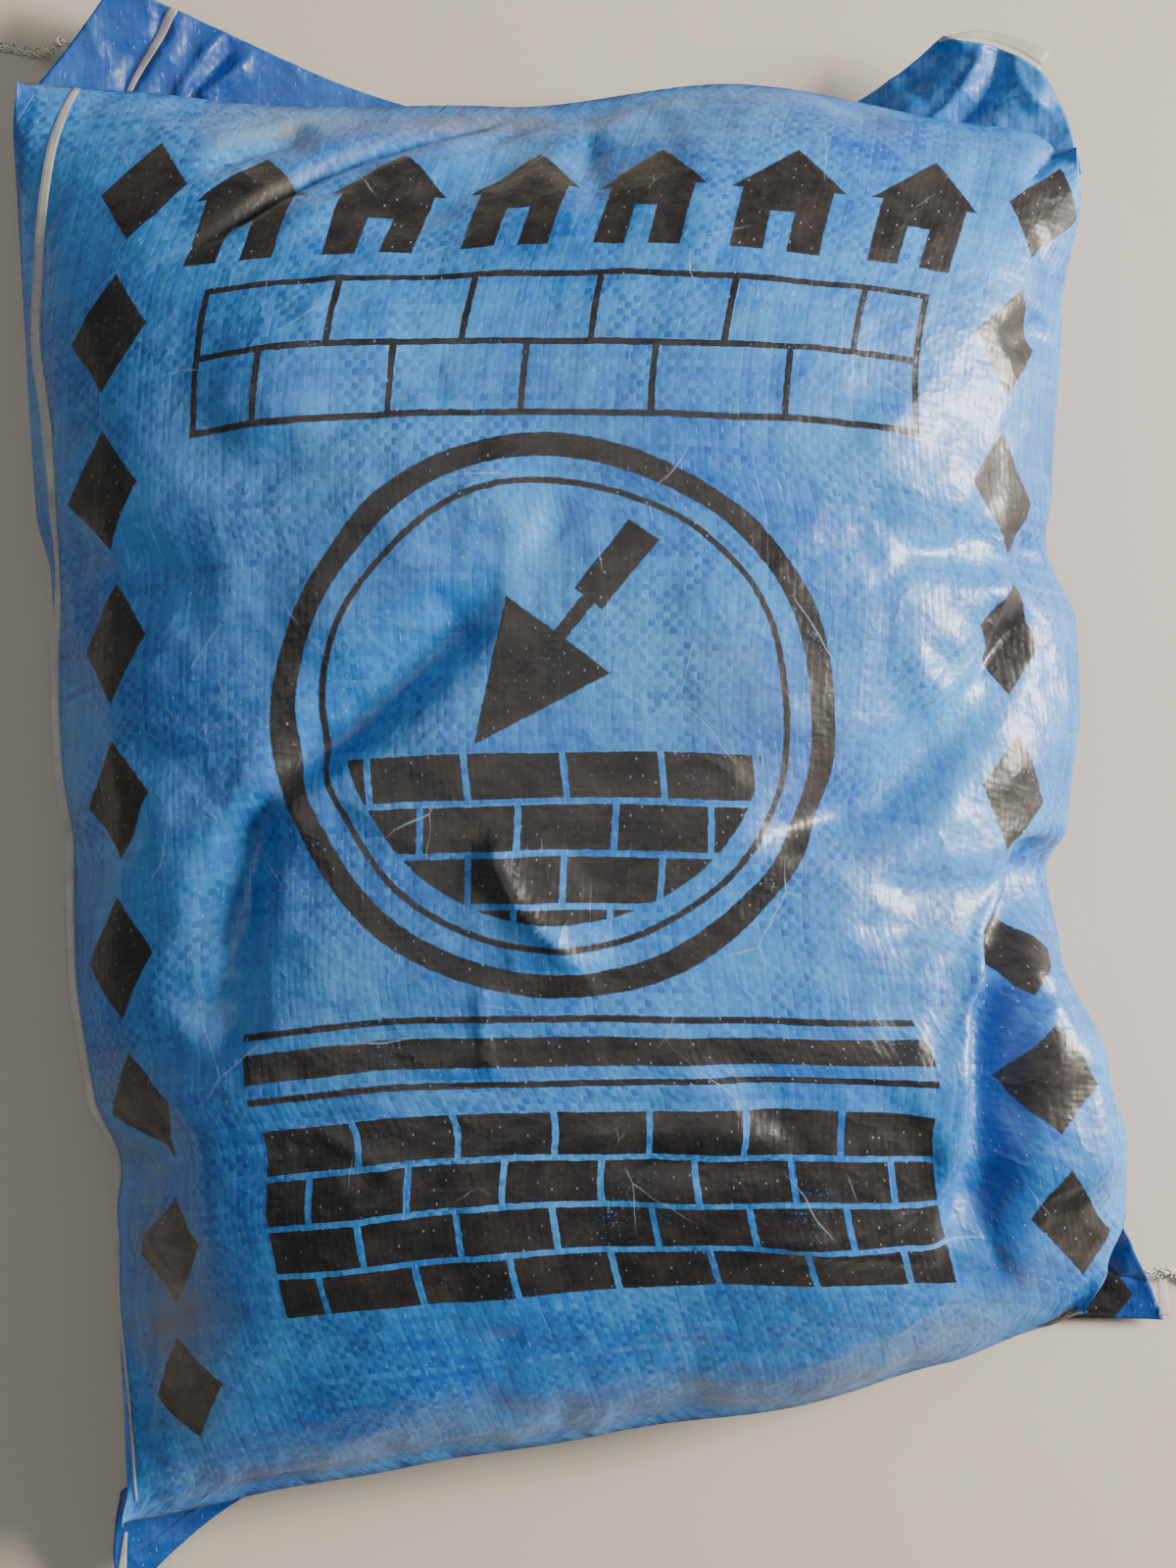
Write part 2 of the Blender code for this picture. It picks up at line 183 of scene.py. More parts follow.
def select_only(*pieces: Object) -> None:
    """Select these objects and nothing else, and make the first one active."""
    bpy.ops.object.select_all(action="DESELECT")
    for piece in pieces:
        piece.select_set(True)
    bpy.context.view_layer.objects.active = pieces[0]


def apply_modifier(piece: Object, kind: str, **settings) -> None:
    """Add one modifier to a piece and apply it.

    Args:
        piece: The object to change.
        kind: Blender's name for the modifier's type.
        **settings: The modifier's properties.
    """
    modifier = piece.modifiers.new(kind.lower(), kind)
    for name, value in settings.items():
        setattr(modifier, name, value)
    select_only(piece)
    bpy.ops.object.modifier_apply(modifier=modifier.name)


def vertex_places(mesh: Mesh) -> Array:
    """Read every vertex of a mesh as rows of X, Y and Z.

    Args:
        mesh: The mesh.

    Returns:
        One vertex a row.
    """
    places = np.empty(len(mesh.vertices) * 3)
    mesh.vertices.foreach_get("co", places)
    return places.reshape(-1, 3)


def vertex_normals(mesh: Mesh) -> Array:
    """Read every vertex normal of a mesh as rows of X, Y and Z.

    Args:
        mesh: The mesh.

    Returns:
        One normal a row.
    """
    normals = np.empty(len(mesh.vertices) * 3)
    mesh.vertices.foreach_get("normal", normals)
    return normals.reshape(-1, 3)


def place_vertices(mesh: Mesh, places: Array) -> None:
    """Write every vertex of a mesh from rows of X, Y and Z."""
    mesh.vertices.foreach_set("co", np.ascontiguousarray(places, dtype=np.float32).ravel())
    mesh.update()


def write_attribute(mesh: Mesh, name: str, values: Array) -> None:
    """Give every vertex of a mesh one value from 0 to 1, for its material to read."""
    attribute = mesh.attributes.new(name, "FLOAT", "POINT")
    attribute.data.foreach_set("value", np.clip(values, 0.0, 1.0).astype(np.float32))


def grid_mesh(name: str, places: Sequence) -> Mesh:
    """Make an open mesh over a grid of points.

    Args:
        name: The mesh's name.
        places: The points of its columns.

    Returns:
        The mesh.
    """
    wide, long = len(places), len(places[0])
    shape = bmesh.new()
    bmesh.ops.create_grid(shape, x_segments=wide - 1, y_segments=long - 1, size=1.0)
    for vertex in shape.verts:
        column = round((vertex.co.x + 1) / 2 * (wide - 1))
        vertex.co = places[column][round((vertex.co.y + 1) / 2 * (long - 1))]
    bmesh.ops.recalc_face_normals(shape, faces=shape.faces)
    mesh = bpy.data.meshes.new(name)
    shape.to_mesh(mesh)
    shape.free()
    return mesh


def smooth_noise(places: Array, size: float, seed: float) -> Array:
    """Smooth noise over some points.

    Args:
        places: Points in space, one a row.
        size: About how far apart its rises lie.
        seed: Shifts the pattern, so that two layers differ.

    Returns:
        One value a point, about -1 to 1.
    """
    shift = Vector((seed, seed * 1.7, seed * 0.6))
    return np.array([noise.noise(Vector(place) / size + shift) for place in places])


@dataclass(frozen=True)
class Bumps:
    """One layer of uneven cloth: soft rises, or sharp lines between flat facets where it is creased."""

    amount: float
    size: float
    seed: float
    creased: bool = False

    def height(self, places: Array) -> Array:
        """How far the layer lifts the cloth at some points, in metres.

        Args:
            places: Points in metres, one a row.

        Returns:
            One height a point.
        """
        heights = smooth_noise(places, self.size, self.seed)
        if self.creased:
            heights = 1 - 2 * np.abs(heights) ** 0.8
        return self.amount * heights


@dataclass(frozen=True)
class PhotoCamera:
    """Camera that looks straight down on the bag."""

    height: float = 1.10
    pixels_per_mm: float = 2.81
    image_height_px: int = 1600
    centre: Point = (-0.0034, 0.0053)
    sensor_mm: float = 36.0

    def build(self) -> Object:
        """Make the camera and let the scene look through it.

        Returns:
            The camera object.
        """
        data = bpy.data.cameras.new("photo_camera")
        seen = self.image_height_px / self.pixels_per_mm * MM
        data.sensor_width = self.sensor_mm
        data.lens = self.sensor_mm * self.height / seen
        camera = bpy.data.objects.new("photo_camera", data)
        camera.location = (*self.centre, self.height)
        bpy.context.scene.collection.objects.link(camera)
        bpy.context.scene.camera = camera
        return camera


@dataclass(frozen=True)
class SoftLight:
    """Square light that faces the bag, its power in watts."""

    name: str
    place: Place
    side: float
    power: float
    colour: str

    def build(self) -> None:
        """Hang the light."""
        data = bpy.data.lights.new(self.name, "AREA")
        data.size = self.side
        data.energy = self.power
        data.color = linear(self.colour)[:3]
        light = bpy.data.objects.new(self.name, data)
        light.location = self.place
        light.rotation_euler = (-Vector(self.place)).to_track_quat("-Z", "Y").to_euler()
        bpy.context.scene.collection.objects.link(light)


@dataclass(frozen=True)
class Studio:
    """Plain pale floor and soft lights: a low one from the right and a wide one above."""

    lights: tuple[SoftLight, ...] = (
        SoftLight("key_light", (2.02, 0.45, 0.95), 0.7, 140.0, "FFF6EA"),
        SoftLight("fill_light", (-0.5, 0.4, 1.9), 1.8, 10.0, "F4F1EA"),
    )
    floor_size: float = 6.0
    floor_height: float = -0.0002
    floor_colour: str = "CFC7B8"
    room_colour: str = "DDE3EA"
    room_strength: float = 0.18

    def build(self) -> None:
        """Make the floor, the lights and the pale surroundings."""
        self._floor()
        for light in self.lights:
            light.build()
        world = bpy.data.worlds.new("pale_room")
        world.use_nodes = True
        background = world.node_tree.nodes["Background"]
        background.inputs["Color"].default_value = linear(self.room_colour)
        background.inputs["Strength"].default_value = self.room_strength
        bpy.context.scene.world = world

    def _floor(self) -> None:
        """Make the floor, which isn't part of the bag."""
        bpy.ops.object.select_all(action="DESELECT")
        bpy.ops.mesh.primitive_plane_add(size=self.floor_size, location=(0.0, 0.0, self.floor_height))
        floor = bpy.context.object
        floor.name = "studio_floor"
        material = bpy.data.materials.new("matt_plaster_floor")
        material.use_nodes = True
        shader = material.node_tree.nodes["Principled BSDF"]
        shader.inputs["Base Color"].default_value = linear(self.floor_colour)
        shader.inputs["Roughness"].default_value = 0.75
        floor.data.materials.append(material)


class Stencil:
    """Shapes drawn on flat cloth, each as a distance in millimetres that is negative inside."""

    edge_mm: float = 0.5

    def __init__(self, tree: NodeTree, uv: Node) -> None:
        """Read the place on the cloth.

        Args:
            tree: The material's node tree.
            uv: The node whose first output is the place in millimetres.
        """
        self.tree = tree
        self.uv = uv
        parts = add(tree, "ShaderNodeSeparateXYZ", uv)
        self.u, self.v = parts.outputs[0], parts.outputs[1]

    def turned(self, centre: Point, degrees: float) -> "Stencil":
        """The same cloth with its zero at a point, and turned."""
        turn = (0.0, 0.0, math.radians(degrees))
        return Stencil(self.tree, add(self.tree, PLACE, self.uv, (*centre, 0.0), turn, vector_type="TEXTURE"))

    def disc(self, centre: Point, radius: float) -> Node:
        """A filled circle."""
        away = add(self.tree, VECTOR, self.uv, (*centre, 0.0), operation="DISTANCE")
        return add(self.tree, MATH, away.outputs["Value"], radius, operation="SUBTRACT")

    def ring(self, centre: Point, radius: float, width: float) -> Node:
        """A circle drawn with a line of some width."""
        away = add(self.tree, MATH, self.disc(centre, radius), operation="ABSOLUTE")
        return add(self.tree, MATH, away, width / 2, operation="SUBTRACT")

    def box(self, centre: Point, size: Point) -> Node:
        """A filled rectangle.

        Args:
            centre: Its middle.
            size: Its width and height.

        Returns:
            The shape.
        """
        sides = []
        for place, middle, length in zip((self.u, self.v), centre, size):
            offset = add(self.tree, MATH, place, middle, operation="SUBTRACT")
            away = add(self.tree, MATH, offset, operation="ABSOLUTE")
            sides.append(add(self.tree, MATH, away, length / 2, operation="SUBTRACT"))
        return add(self.tree, MATH, *sides, operation="MAXIMUM")

    def diamonds(self, centre_u: float, size: Point, pitch: float) -> Node:
        """A column of diamonds that runs the whole length of the cloth.

        Args:
            centre_u: Its middle.
            size: Width and height of a diamond.
            pitch: How far apart they are.

        Returns:
            The shape.
        """
        offset = add(self.tree, MATH, self.u, centre_u, operation="SUBTRACT")
        away = add(self.tree, MATH, offset, operation="ABSOLUTE")
        across = add(self.tree, MATH, away, 2 / size[0], operation="MULTIPLY")
        wave = add(self.tree, MATH, self.v, pitch / 2, operation="PINGPONG")
        total = add(self.tree, MATH, wave, 2 / size[1], across, operation="MULTIPLY_ADD")
        inside = add(self.tree, MATH, total, 1.0, operation="SUBTRACT")
        return add(self.tree, MATH, inside, size[0] * size[1] / 2 / math.hypot(*size), operation="MULTIPLY")

    def repeated(self, pitch: float) -> "Stencil":
        """The same cloth folded up across, so that a shape at zero shows at every pitch."""
        away = add(self.tree, MATH, self.u, pitch / 2, operation="PINGPONG")
        return Stencil(self.tree, add(self.tree, "ShaderNodeCombineXYZ", away, self.v))

    def roof(self, foot_v: float, half_width: float) -> Node:
        """A gable roof in the middle of the cloth, as high as it is half wide.

        Args:
            foot_v: Where its eaves are.
            half_width: Half its width.

        Returns:
            The shape.
        """
        away = add(self.tree, MATH, self.u, operation="ABSOLUTE")
        rise = add(self.tree, MATH, self.v, away, operation="ADD")
        slope = add(self.tree, MATH, rise, -(foot_v + half_width), operation="ADD")
        side = add(self.tree, MATH, slope, math.sqrt(0.5), operation="MULTIPLY")
        eaves = add(self.tree, MATH, foot_v, self.v, operation="SUBTRACT")
        return add(self.tree, MATH, side, eaves, operation="MAXIMUM")

    def cut(self, shape: Node, hole: Node) -> Node:
        """A shape with another one cut out of it."""
        outside = add(self.tree, MATH, hole, -1.0, operation="MULTIPLY")
        return add(self.tree, MATH, shape, outside, operation="MAXIMUM")

    def blade(self, length: float, half_width: float) -> Node:
        """A pointed trowel blade, its heel at zero and its tip towards negative V.

        Args:
            length: From its heel to its tip.
            half_width: Half its width at the heel.

        Returns:
            The shape.
        """
        away = add(self.tree, MATH, self.u, operation="ABSOLUTE")
        taper = half_width / length
        edge = add(self.tree, MATH, self.v, -taper, away, operation="MULTIPLY_ADD")
        inside = add(self.tree, MATH, edge, half_width, operation="SUBTRACT")
        side = add(self.tree, MATH, inside, math.cos(math.atan(taper)), operation="MULTIPLY")
        return add(self.tree, MATH, side, self.v, operation="MAXIMUM")

    def joined(self, *shapes: Node) -> Node:
        """All of some shapes together.

        Args:
            *shapes: The shapes.

        Returns:
            The one shape.
        """
        whole = shapes[0]
        for shape in shapes[1:]:
            whole = add(self.tree, MATH, whole, shape, operation="MINIMUM")
        return whole

    def shared(self, *shapes: Node) -> Node:
        """Only what all of some shapes have in common.

        Args:
            *shapes: The shapes.

        Returns:
            The one shape.
        """
        whole = shapes[0]
        for shape in shapes[1:]:
            whole = add(self.tree, MATH, whole, shape, operation="MAXIMUM")
        return whole

    def mask(self, *shapes: Node) -> Node:
        """1 inside any of some shapes and 0 outside, with a soft edge between."""
        return add(self.tree, REMAP, self.joined(*shapes), self.edge_mm / 2, -self.edge_mm / 2, 0.0, 1.0)


@dataclass(frozen=True)
class PrintLayout:
    """Generic black print of the front panel, in millimetres of flat cloth.

    U runs across from the left fold of the sack and V up from its top left
    corner, so the print has negative V. The motifs are plain: a row of houses, a
    wall in outline, a round badge with a trowel over bricks, bars, a band of
    bricks and columns of diamonds.
    """

    cloth_width: float = 500.0
    house_foot: float = -86.0
    house_walls: Point = (30.0, 28.0)
    house_door: Point = (8.0, 20.0)
    door_middle: float = 6.0
    roof_foot: float = 26.0
    roof_half_width: float = 19.0
    house_pitch: float = 46.0
    house_field_u: Point = (207.0, 276.0)
    house_field_v: Point = (24.0, 60.0)
    wall_middle: Point = (209.9, -121.0)
    wall_size: Point = (243.1, 48.4)
    wall_brick: Point = (42.0, 22.0)
    wall_line: float = 2.2
    badge: Point = (207.0, -246.0)
    badge_radius: float = 90.0
    badge_line: float = 8.0
    inner_line: float = 2.2
    inner_line_inset: float = 12.0
    badge_wall_inset: float = 20.0
    badge_wall: Point = (-258.0, -327.0)
    trowel_heel: Point = (209.0, -220.0)
    trowel_turn: float = -38.0
    trowel_blade: Point = (46.0, 22.0)
    trowel_neck: tuple[Point, Point] = ((0.0, 8.0), (5.0, 20.0))
    trowel_handle: tuple[Point, Point] = ((0.0, 30.0), (12.0, 30.0))
    brick_size: Point = (30.0, 15.0)
    mortar: float = 2.2
    bar_middle: Point = (209.3, -358.0)
    bar_size: Point = (223.2, 10.0)
    thin_bar: float = 2.4
    thin_bar_offset: float = 11.0
    band_middle: Point = (209.3, -412.8)
    band_size: Point = (223.2, 66.6)
    diamond_columns: Point = (54.0, 366.0)
    diamond_size: Point = (29.0, 40.0)
    diamond_pitch: float = 52.0
    diamond_field: Point = (-26.0, -494.0)

    def ink(self, tree: NodeTree, uv: Node) -> Node:
        """Draw the whole print.

        Args:
            tree: The material's node tree.
            uv: The node whose first output is the place in millimetres.

        Returns:
            The node whose first output is 1 on ink and 0 on bare cloth.
        """
        cloth = Stencil(tree, uv)
        drawn = cloth.mask(self._houses(cloth), self._badge(cloth), self._bars(cloth), self._diamonds(cloth))
        high, low = self.badge_wall
        courses = cloth.box((self.badge[0], (high + low) / 2), (self.cloth_width, high - low - self.mortar))
        badge_wall = cloth.shared(cloth.disc(self.badge, self.badge_radius - self.badge_wall_inset), courses)
        walls = cloth.mask(badge_wall, cloth.box(self.band_middle, self.band_size))
        joints = self._bond(tree, uv, self.brick_size, self.mortar)
        bricks = add(tree, MATH, walls, joints, operation="SUBTRACT", use_clamp=True)
        solid = add(tree, MATH, drawn, bricks, operation="MAXIMUM")
        return add(tree, MATH, solid, self._wall(cloth), operation="MAXIMUM")

    def _wall(self, cloth: Stencil) -> Node:
        """Two courses of bricks drawn in outline.

        Args:
            cloth: The flat cloth.

        Returns:
            A mask.
        """
        block = cloth.box(self.wall_middle, self.wall_size)
        edge = add(cloth.tree, MATH, add(cloth.tree, MATH, block, operation="ABSOLUTE"), self.wall_line / 2,
                   operation="SUBTRACT")
        joints = self._bond(cloth.tree, cloth.uv, self.wall_brick, self.wall_line)
        inside = add(cloth.tree, MATH, cloth.mask(block), joints, operation="MULTIPLY")
        return add(cloth.tree, MATH, inside, cloth.mask(edge), operation="MAXIMUM")

    def _houses(self, cloth: Stencil) -> Node:
        """A row of solid houses, each with a door.

        Args:
            cloth: The flat cloth.

        Returns:
            The shape.
        """
        street = cloth.repeated(self.house_pitch)
        walls = street.box((0.0, self.house_foot + self.house_walls[1] / 2), self.house_walls)
        doorway = street.box((0.0, self.house_foot + self.door_middle), self.house_door)
        roof = street.roof(self.house_foot + self.roof_foot, self.roof_half_width)
        house = cloth.joined(cloth.cut(walls, doorway), roof)
        (middle, width), (rise, height) = self.house_field_u, self.house_field_v
        return cloth.shared(house, cloth.box((middle, self.house_foot + rise), (width, height)))

    def _badge(self, cloth: Stencil) -> Node:
        """Two rings round a trowel.

        Args:
            cloth: The flat cloth.

        Returns:
            The shape.
        """
        trowel = cloth.turned(self.trowel_heel, self.trowel_turn)
        neck = trowel.box(*self.trowel_neck)
        handle = trowel.box(*self.trowel_handle)
        outer = cloth.ring(self.badge, self.badge_radius, self.badge_line)
        inner = cloth.ring(self.badge, self.badge_radius - self.inner_line_inset, self.inner_line)
        return cloth.joined(outer, inner, trowel.blade(*self.trowel_blade), neck, handle)

    def _bars(self, cloth: Stencil) -> Node:
        """A thick bar between two thin ones.

        Args:
            cloth: The flat cloth.

        Returns:
            The shape.
        """
        thick = cloth.box(self.bar_middle, self.bar_size)
        middle_u, middle_v = self.bar_middle
        thin = [cloth.box((middle_u, middle_v + offset), (self.bar_size[0], self.thin_bar))
                for offset in (-self.thin_bar_offset, self.thin_bar_offset)]
        return cloth.joined(thick, *thin)

    def _diamonds(self, cloth: Stencil) -> Node:
        """The columns of diamonds beside the rest.

        Args:
            cloth: The flat cloth.

        Returns:
            The shape.
        """
        columns = [cloth.diamonds(column, self.diamond_size, self.diamond_pitch)
                   for column in self.diamond_columns]
        high, low = self.diamond_field
        field_box = cloth.box((self.badge[0], (high + low) / 2), (self.cloth_width, high - low))
        return cloth.shared(cloth.joined(*columns), field_box)

    def _bond(self, tree: NodeTree, uv: Node, brick: Point, joint: float) -> NodeSocket:
        """1 in the joints of a running bond and 0 on its bricks."""
        settings = {"Scale": 1.0, "Mortar Size": joint / 2, "Mortar Smooth": 0.0,
                    "Brick Width": brick[0] + joint, "Row Height": brick[1] + joint}
        return add(tree, "ShaderNodeTexBrick", uv, named=settings).outputs["Fac"]


@dataclass(frozen=True)
class LaminatedWeave:
    """Blue woven polypropylene tape cloth under a clear glossy film.

    Extruded tape cloth with a film laminated on it: the eye gets a fine check
    of darker squares, streaky gloss along the tapes and bright pinholes. Each
    pattern has its real size, in millimetres of flat cloth or in tapes.
    """

    layout: PrintLayout = PrintLayout()
    tape_mm: float = 2.4
    wander_mm: float = 6.0
    wander_length_mm: float = 83.333
    tone_tapes: Point = (1.36986, 22.2222)
    streak_mm: Point = (1.17647, 12.5)
    glint_speck_mm: Point = (0.66667, 5.88235)
    faded_patch_mm: float = 62.5
    check_patch_mm: float = 45.4545
    rubbed_mm: float = 20.0
    scuff_mm: float = 1.11111
    scuff_patch_mm: float = 33.3333
    ragged_mm: float = 2.85714
    ragged_shift_mm: float = 0.9
    pinhole_mm: Point = (5.8, 8.5)
    pinhole_patch_mm: float = 28.5714
    crease_mm: Point = (44.0, 70.0)
    crease_bend_mm: float = 50.0
    crease_shift_mm: float = 14.0
    crease_patch_mm: float = 33.3333
    dirt_cloud_mm: float = 16.6667
    crinkle_mm: float = 18.1818
    unfaded_and_shade_blue: str = "074390"
    deep_blue: str = "06429A"
    blue: str = "1162BC"
    light_blue: str = "4497DC"
    painted_glint: str = "A8CDEB"
    ink: str = "141317"
    worn_ink: str = "3E3836"
    white_line: str = "C6DCF0"
    dust: str = "8C8478"

    def build(self) -> Material:
        """Make the cloth's material.

        Returns:
            The material, which reads the UV map in millimetres of flat cloth.
        """
        material = bpy.data.materials.new("polypropylene_woven_laminated")
        material.use_nodes = True
        tree = material.node_tree
        shader = tree.nodes["Principled BSDF"]
        shader.inputs["IOR"].default_value = 1.49
        shader.inputs["Coat Weight"].default_value = 0.4
        shader.inputs["Coat Roughness"].default_value = 0.27
        uv = self._wandering(tree)
        checks = self._checks(tree, uv)
        streaks = self._tapes(tree, uv)
        ragged = add(tree, NOISE, uv, named={"Scale": 1 / self.ragged_mm, "Detail": 2.0})
        shift = (self.ragged_shift_mm, self.ragged_shift_mm, 0.0)
        shaken = add(tree, VECTOR, ragged.outputs["Color"], shift, uv, operation="MULTIPLY_ADD")
        ink = self._worn(tree, uv, self.layout.ink(tree, shaken))
        holes = self._pinholes(tree, uv)
        white = self._white_lines(tree, uv)
        dirt = add(tree, "ShaderNodeAttribute", attribute_name="dirt")
        colour = self._blue(tree, uv, checks, streaks)
        printed = add(tree, BLEND, ink, named={6: colour, 7: self._ink_colour(tree, uv)}, data_type="RGBA")
        marks = add(tree, MATH, holes, white, operation="MAXIMUM")
        lined = add(tree, BLEND, marks, named={6: printed.outputs[2], 7: linear(self.white_line)},
                    data_type="RGBA")
        soiling = self._soiling(tree, uv, dirt)
        dirty = add(tree, BLEND, soiling, named={6: lined.outputs[2], 7: linear(self.dust)}, data_type="RGBA")
        tree.links.new(dirty.outputs[2], shader.inputs["Base Color"])
        gloss = add(tree, REMAP, streaks, 0.35, 0.7, 0.52, 0.38)
        rough = add(tree, MATH, soiling, 0.35, gloss, operation="MULTIPLY_ADD", use_clamp=True)
        tree.links.new(rough.outputs[0], shader.inputs["Roughness"])
        self._relief(tree, uv, shader, checks, streaks)
        return material

    def _wandering(self, tree: NodeTree) -> Node:
        """Place on the flat cloth, shifted slowly so that the tapes don't run dead straight.

        Args:
            tree: The material's node tree.

        Returns:
            The place in millimetres.
        """
        uv = add(tree, "ShaderNodeUVMap", uv_map="cloth_mm")
        slow = add(tree, NOISE, uv, named={"Scale": 1 / self.wander_length_mm, "Detail": 1.0})
        shift = (self.wander_mm, self.wander_mm, 0.0)
        return add(tree, VECTOR, slow.outputs["Color"], shift, uv, operation="MULTIPLY_ADD")

    def _crossings(self, tree: NodeTree, uv: Node) -> Node:
        """Which tapes cross here, counted across and along the cloth."""
        tapes = add(tree, VECTOR, uv, (1 / self.tape_mm,) * 3, operation="MULTIPLY")
        return add(tree, VECTOR, tapes, operation="FLOOR")

    def _tapes(self, tree: NodeTree, uv: Node) -> Node:
        """Streaks from 0 to 1: each tape has a tone of its own, and thin lines run along it.

        Args:
            tree: The material's node tree.
            uv: The place on the cloth.

        Returns:
            The streaks.
        """
        cell = self._crossings(tree, uv)
        narrow, long = (1 / tapes for tapes in self.tone_tapes)
        warp = add(tree, NOISE, add(tree, PLACE, cell, named={"Scale": (narrow, long, 1.0)}),
                   named={"Scale": 1.0, "Detail": 1.0})
        weft = add(tree, NOISE, add(tree, PLACE, cell, named={"Scale": (long, narrow, 1.0)}),
                   named={"Scale": 1.0, "Detail": 1.0})
        thin = (1 / self.streak_mm[0], 1 / self.streak_mm[1], 1.0)
        lines = add(tree, NOISE, add(tree, PLACE, uv, named={"Scale": thin}),
                    named={"Scale": 1.0, "Detail": 3.0, "Roughness": 0.6})
        tapes = add(tree, MATH, weft, 0.30, add(tree, MATH, warp, 0.35, operation="MULTIPLY"),
                    operation="MULTIPLY_ADD")
        return add(tree, MATH, lines, 0.35, tapes, operation="MULTIPLY_ADD")

    def _checks(self, tree: NodeTree, uv: Node) -> Node:
        """The plain weave: 1 where a crosswise tape lies on top, -1 where it lies below.

        Args:
            tree: The material's node tree.
            uv: The place on the cloth.

        Returns:
            The checks.
        """
        turn = add(tree, VECTOR, uv, (math.pi / self.tape_mm,) * 3, operation="MULTIPLY")
        parts = add(tree, "ShaderNodeSeparateXYZ", turn)
        across = add(tree, MATH, parts.outputs[0], operation="SINE")
        along = add(tree, MATH, parts.outputs[1], operation="SINE")
        return add(tree, MATH, across, along, operation="MULTIPLY")

    def _blue(self, tree: NodeTree, uv: Node, checks: Node,
              streaks: Node) -> NodeSocket:
        """Colour of the bare cloth: faded patches, pale streaks, darker squares, deeper blue where the
        wear_and_shade attribute is low (partly painted shade) and pale specks that are painted glints.

        Args:
            tree: The material's node tree.
            uv: The place on the cloth.
            checks: The plain weave.
            streaks: The tapes' streaks.

        Returns:
            The colour.
        """
        tone = add(tree, NOISE, uv, named={"Scale": 1 / self.faded_patch_mm, "Detail": 5.0,
                                           "Roughness": 0.62})
        # Low values of this attribute give deeper blue: partly painted shade, on the back panel, the tucked
        # ends and the fold hollows.
        wear_and_shade = add(tree, "ShaderNodeAttribute", attribute_name="wear_and_shade").outputs["Fac"]
        fade = add(tree, MATH, add(tree, REMAP, tone, 0.33, 0.70, 0.0, 1.0), wear_and_shade, operation="MULTIPLY")
        kept_and_shaded = add(tree, BLEND, wear_and_shade, named={6: linear(self.unfaded_and_shade_blue), 7: linear(self.blue)},
                   data_type="RGBA")
        ground = add(tree, BLEND, fade, named={6: kept_and_shaded.outputs[2], 7: linear(self.light_blue)},
                     data_type="RGBA")
        pale = add(tree, MATH, add(tree, REMAP, streaks, 0.47, 0.66, 0.0, 0.8), wear_and_shade, operation="MULTIPLY")
        streaked = add(tree, BLEND, pale, named={6: ground.outputs[2], 7: linear(self.light_blue)},
                       data_type="RGBA")
        dim = add(tree, REMAP, streaks, 0.48, 0.34, 0.0, 0.55)
        shaded = add(tree, BLEND, dim, named={6: streaked.outputs[2], 7: linear(self.deep_blue)},
                     data_type="RGBA")
        patchy = add(tree, NOISE, uv, named={"Scale": 1 / self.check_patch_mm, "Detail": 3.0})
        show = add(tree, REMAP, patchy, 0.38, 0.62, 0.08, 0.68)
        square = add(tree, REMAP, checks, 0.0, 0.08, 0.0, 1.0)
        lot = add(tree, "ShaderNodeTexWhiteNoise", self._crossings(tree, uv), noise_dimensions="2D")
        picked = add(tree, REMAP, lot.outputs["Value"], 0.10, 0.80, 0.05, 0.9)
        shown = add(tree, MATH, picked, show, operation="MULTIPLY")
        share = add(tree, MATH, square, shown, operation="MULTIPLY")
        checked = add(tree, BLEND, share, named={6: shaded.outputs[2], 7: linear(self.deep_blue)},
                      data_type="RGBA")
        # Painted glints: thin pale specks mixed into the colour as highlights.
        small = (1 / self.glint_speck_mm[0], 1 / self.glint_speck_mm[1], 1.0)
        specks = add(tree, NOISE, add(tree, PLACE, uv, named={"Scale": small}),
                     named={"Scale": 1.0, "Detail": 1.0})
        painted_glint_share = add(tree, REMAP, specks, 0.71, 0.79, 0.0, 0.55)
        return add(tree, BLEND, painted_glint_share, named={6: checked.outputs[2], 7: linear(self.painted_glint)},
                   data_type="RGBA").outputs[2]

    def _ink_colour(self, tree: NodeTree, uv: Node) -> NodeSocket:
        """Black ink, browner where it is rubbed thin.

        Args:
            tree: The material's node tree.
            uv: The place on the cloth.

        Returns:
            The colour.
        """
        rubbed = add(tree, NOISE, uv, named={"Scale": 1 / self.rubbed_mm, "Detail": 6.0, "Roughness": 0.7})
        share = add(tree, REMAP, rubbed, 0.40, 0.75, 0.0, 1.0)
        return add(tree, BLEND, share, named={6: linear(self.ink), 7: linear(self.worn_ink)},
                   data_type="RGBA").outputs[2]

    def _worn(self, tree: NodeTree, uv: Node, ink: Node) -> Node:
        """Ink with small specks and scuffs rubbed out of it.

        Args:
            tree: The material's node tree.
            uv: The place on the cloth.
            ink: Where ink was printed.

        Returns:
            Where ink is left.
        """
        specks = add(tree, NOISE, uv, named={"Scale": 1 / self.scuff_mm, "Detail": 2.0, "Roughness": 0.6})
        patches = add(tree, NOISE, uv, named={"Scale": 1 / self.scuff_patch_mm, "Detail": 2.0})
        limit = add(tree, REMAP, patches, 0.45, 0.7, 0.80, 0.60)
        rubbed = add(tree, MATH, specks, limit, operation="SUBTRACT")
        gone = add(tree, REMAP, rubbed, 0.0, 0.06, 0.0, 0.85)
        return add(tree, MATH, ink, gone, operation="SUBTRACT", use_clamp=True)

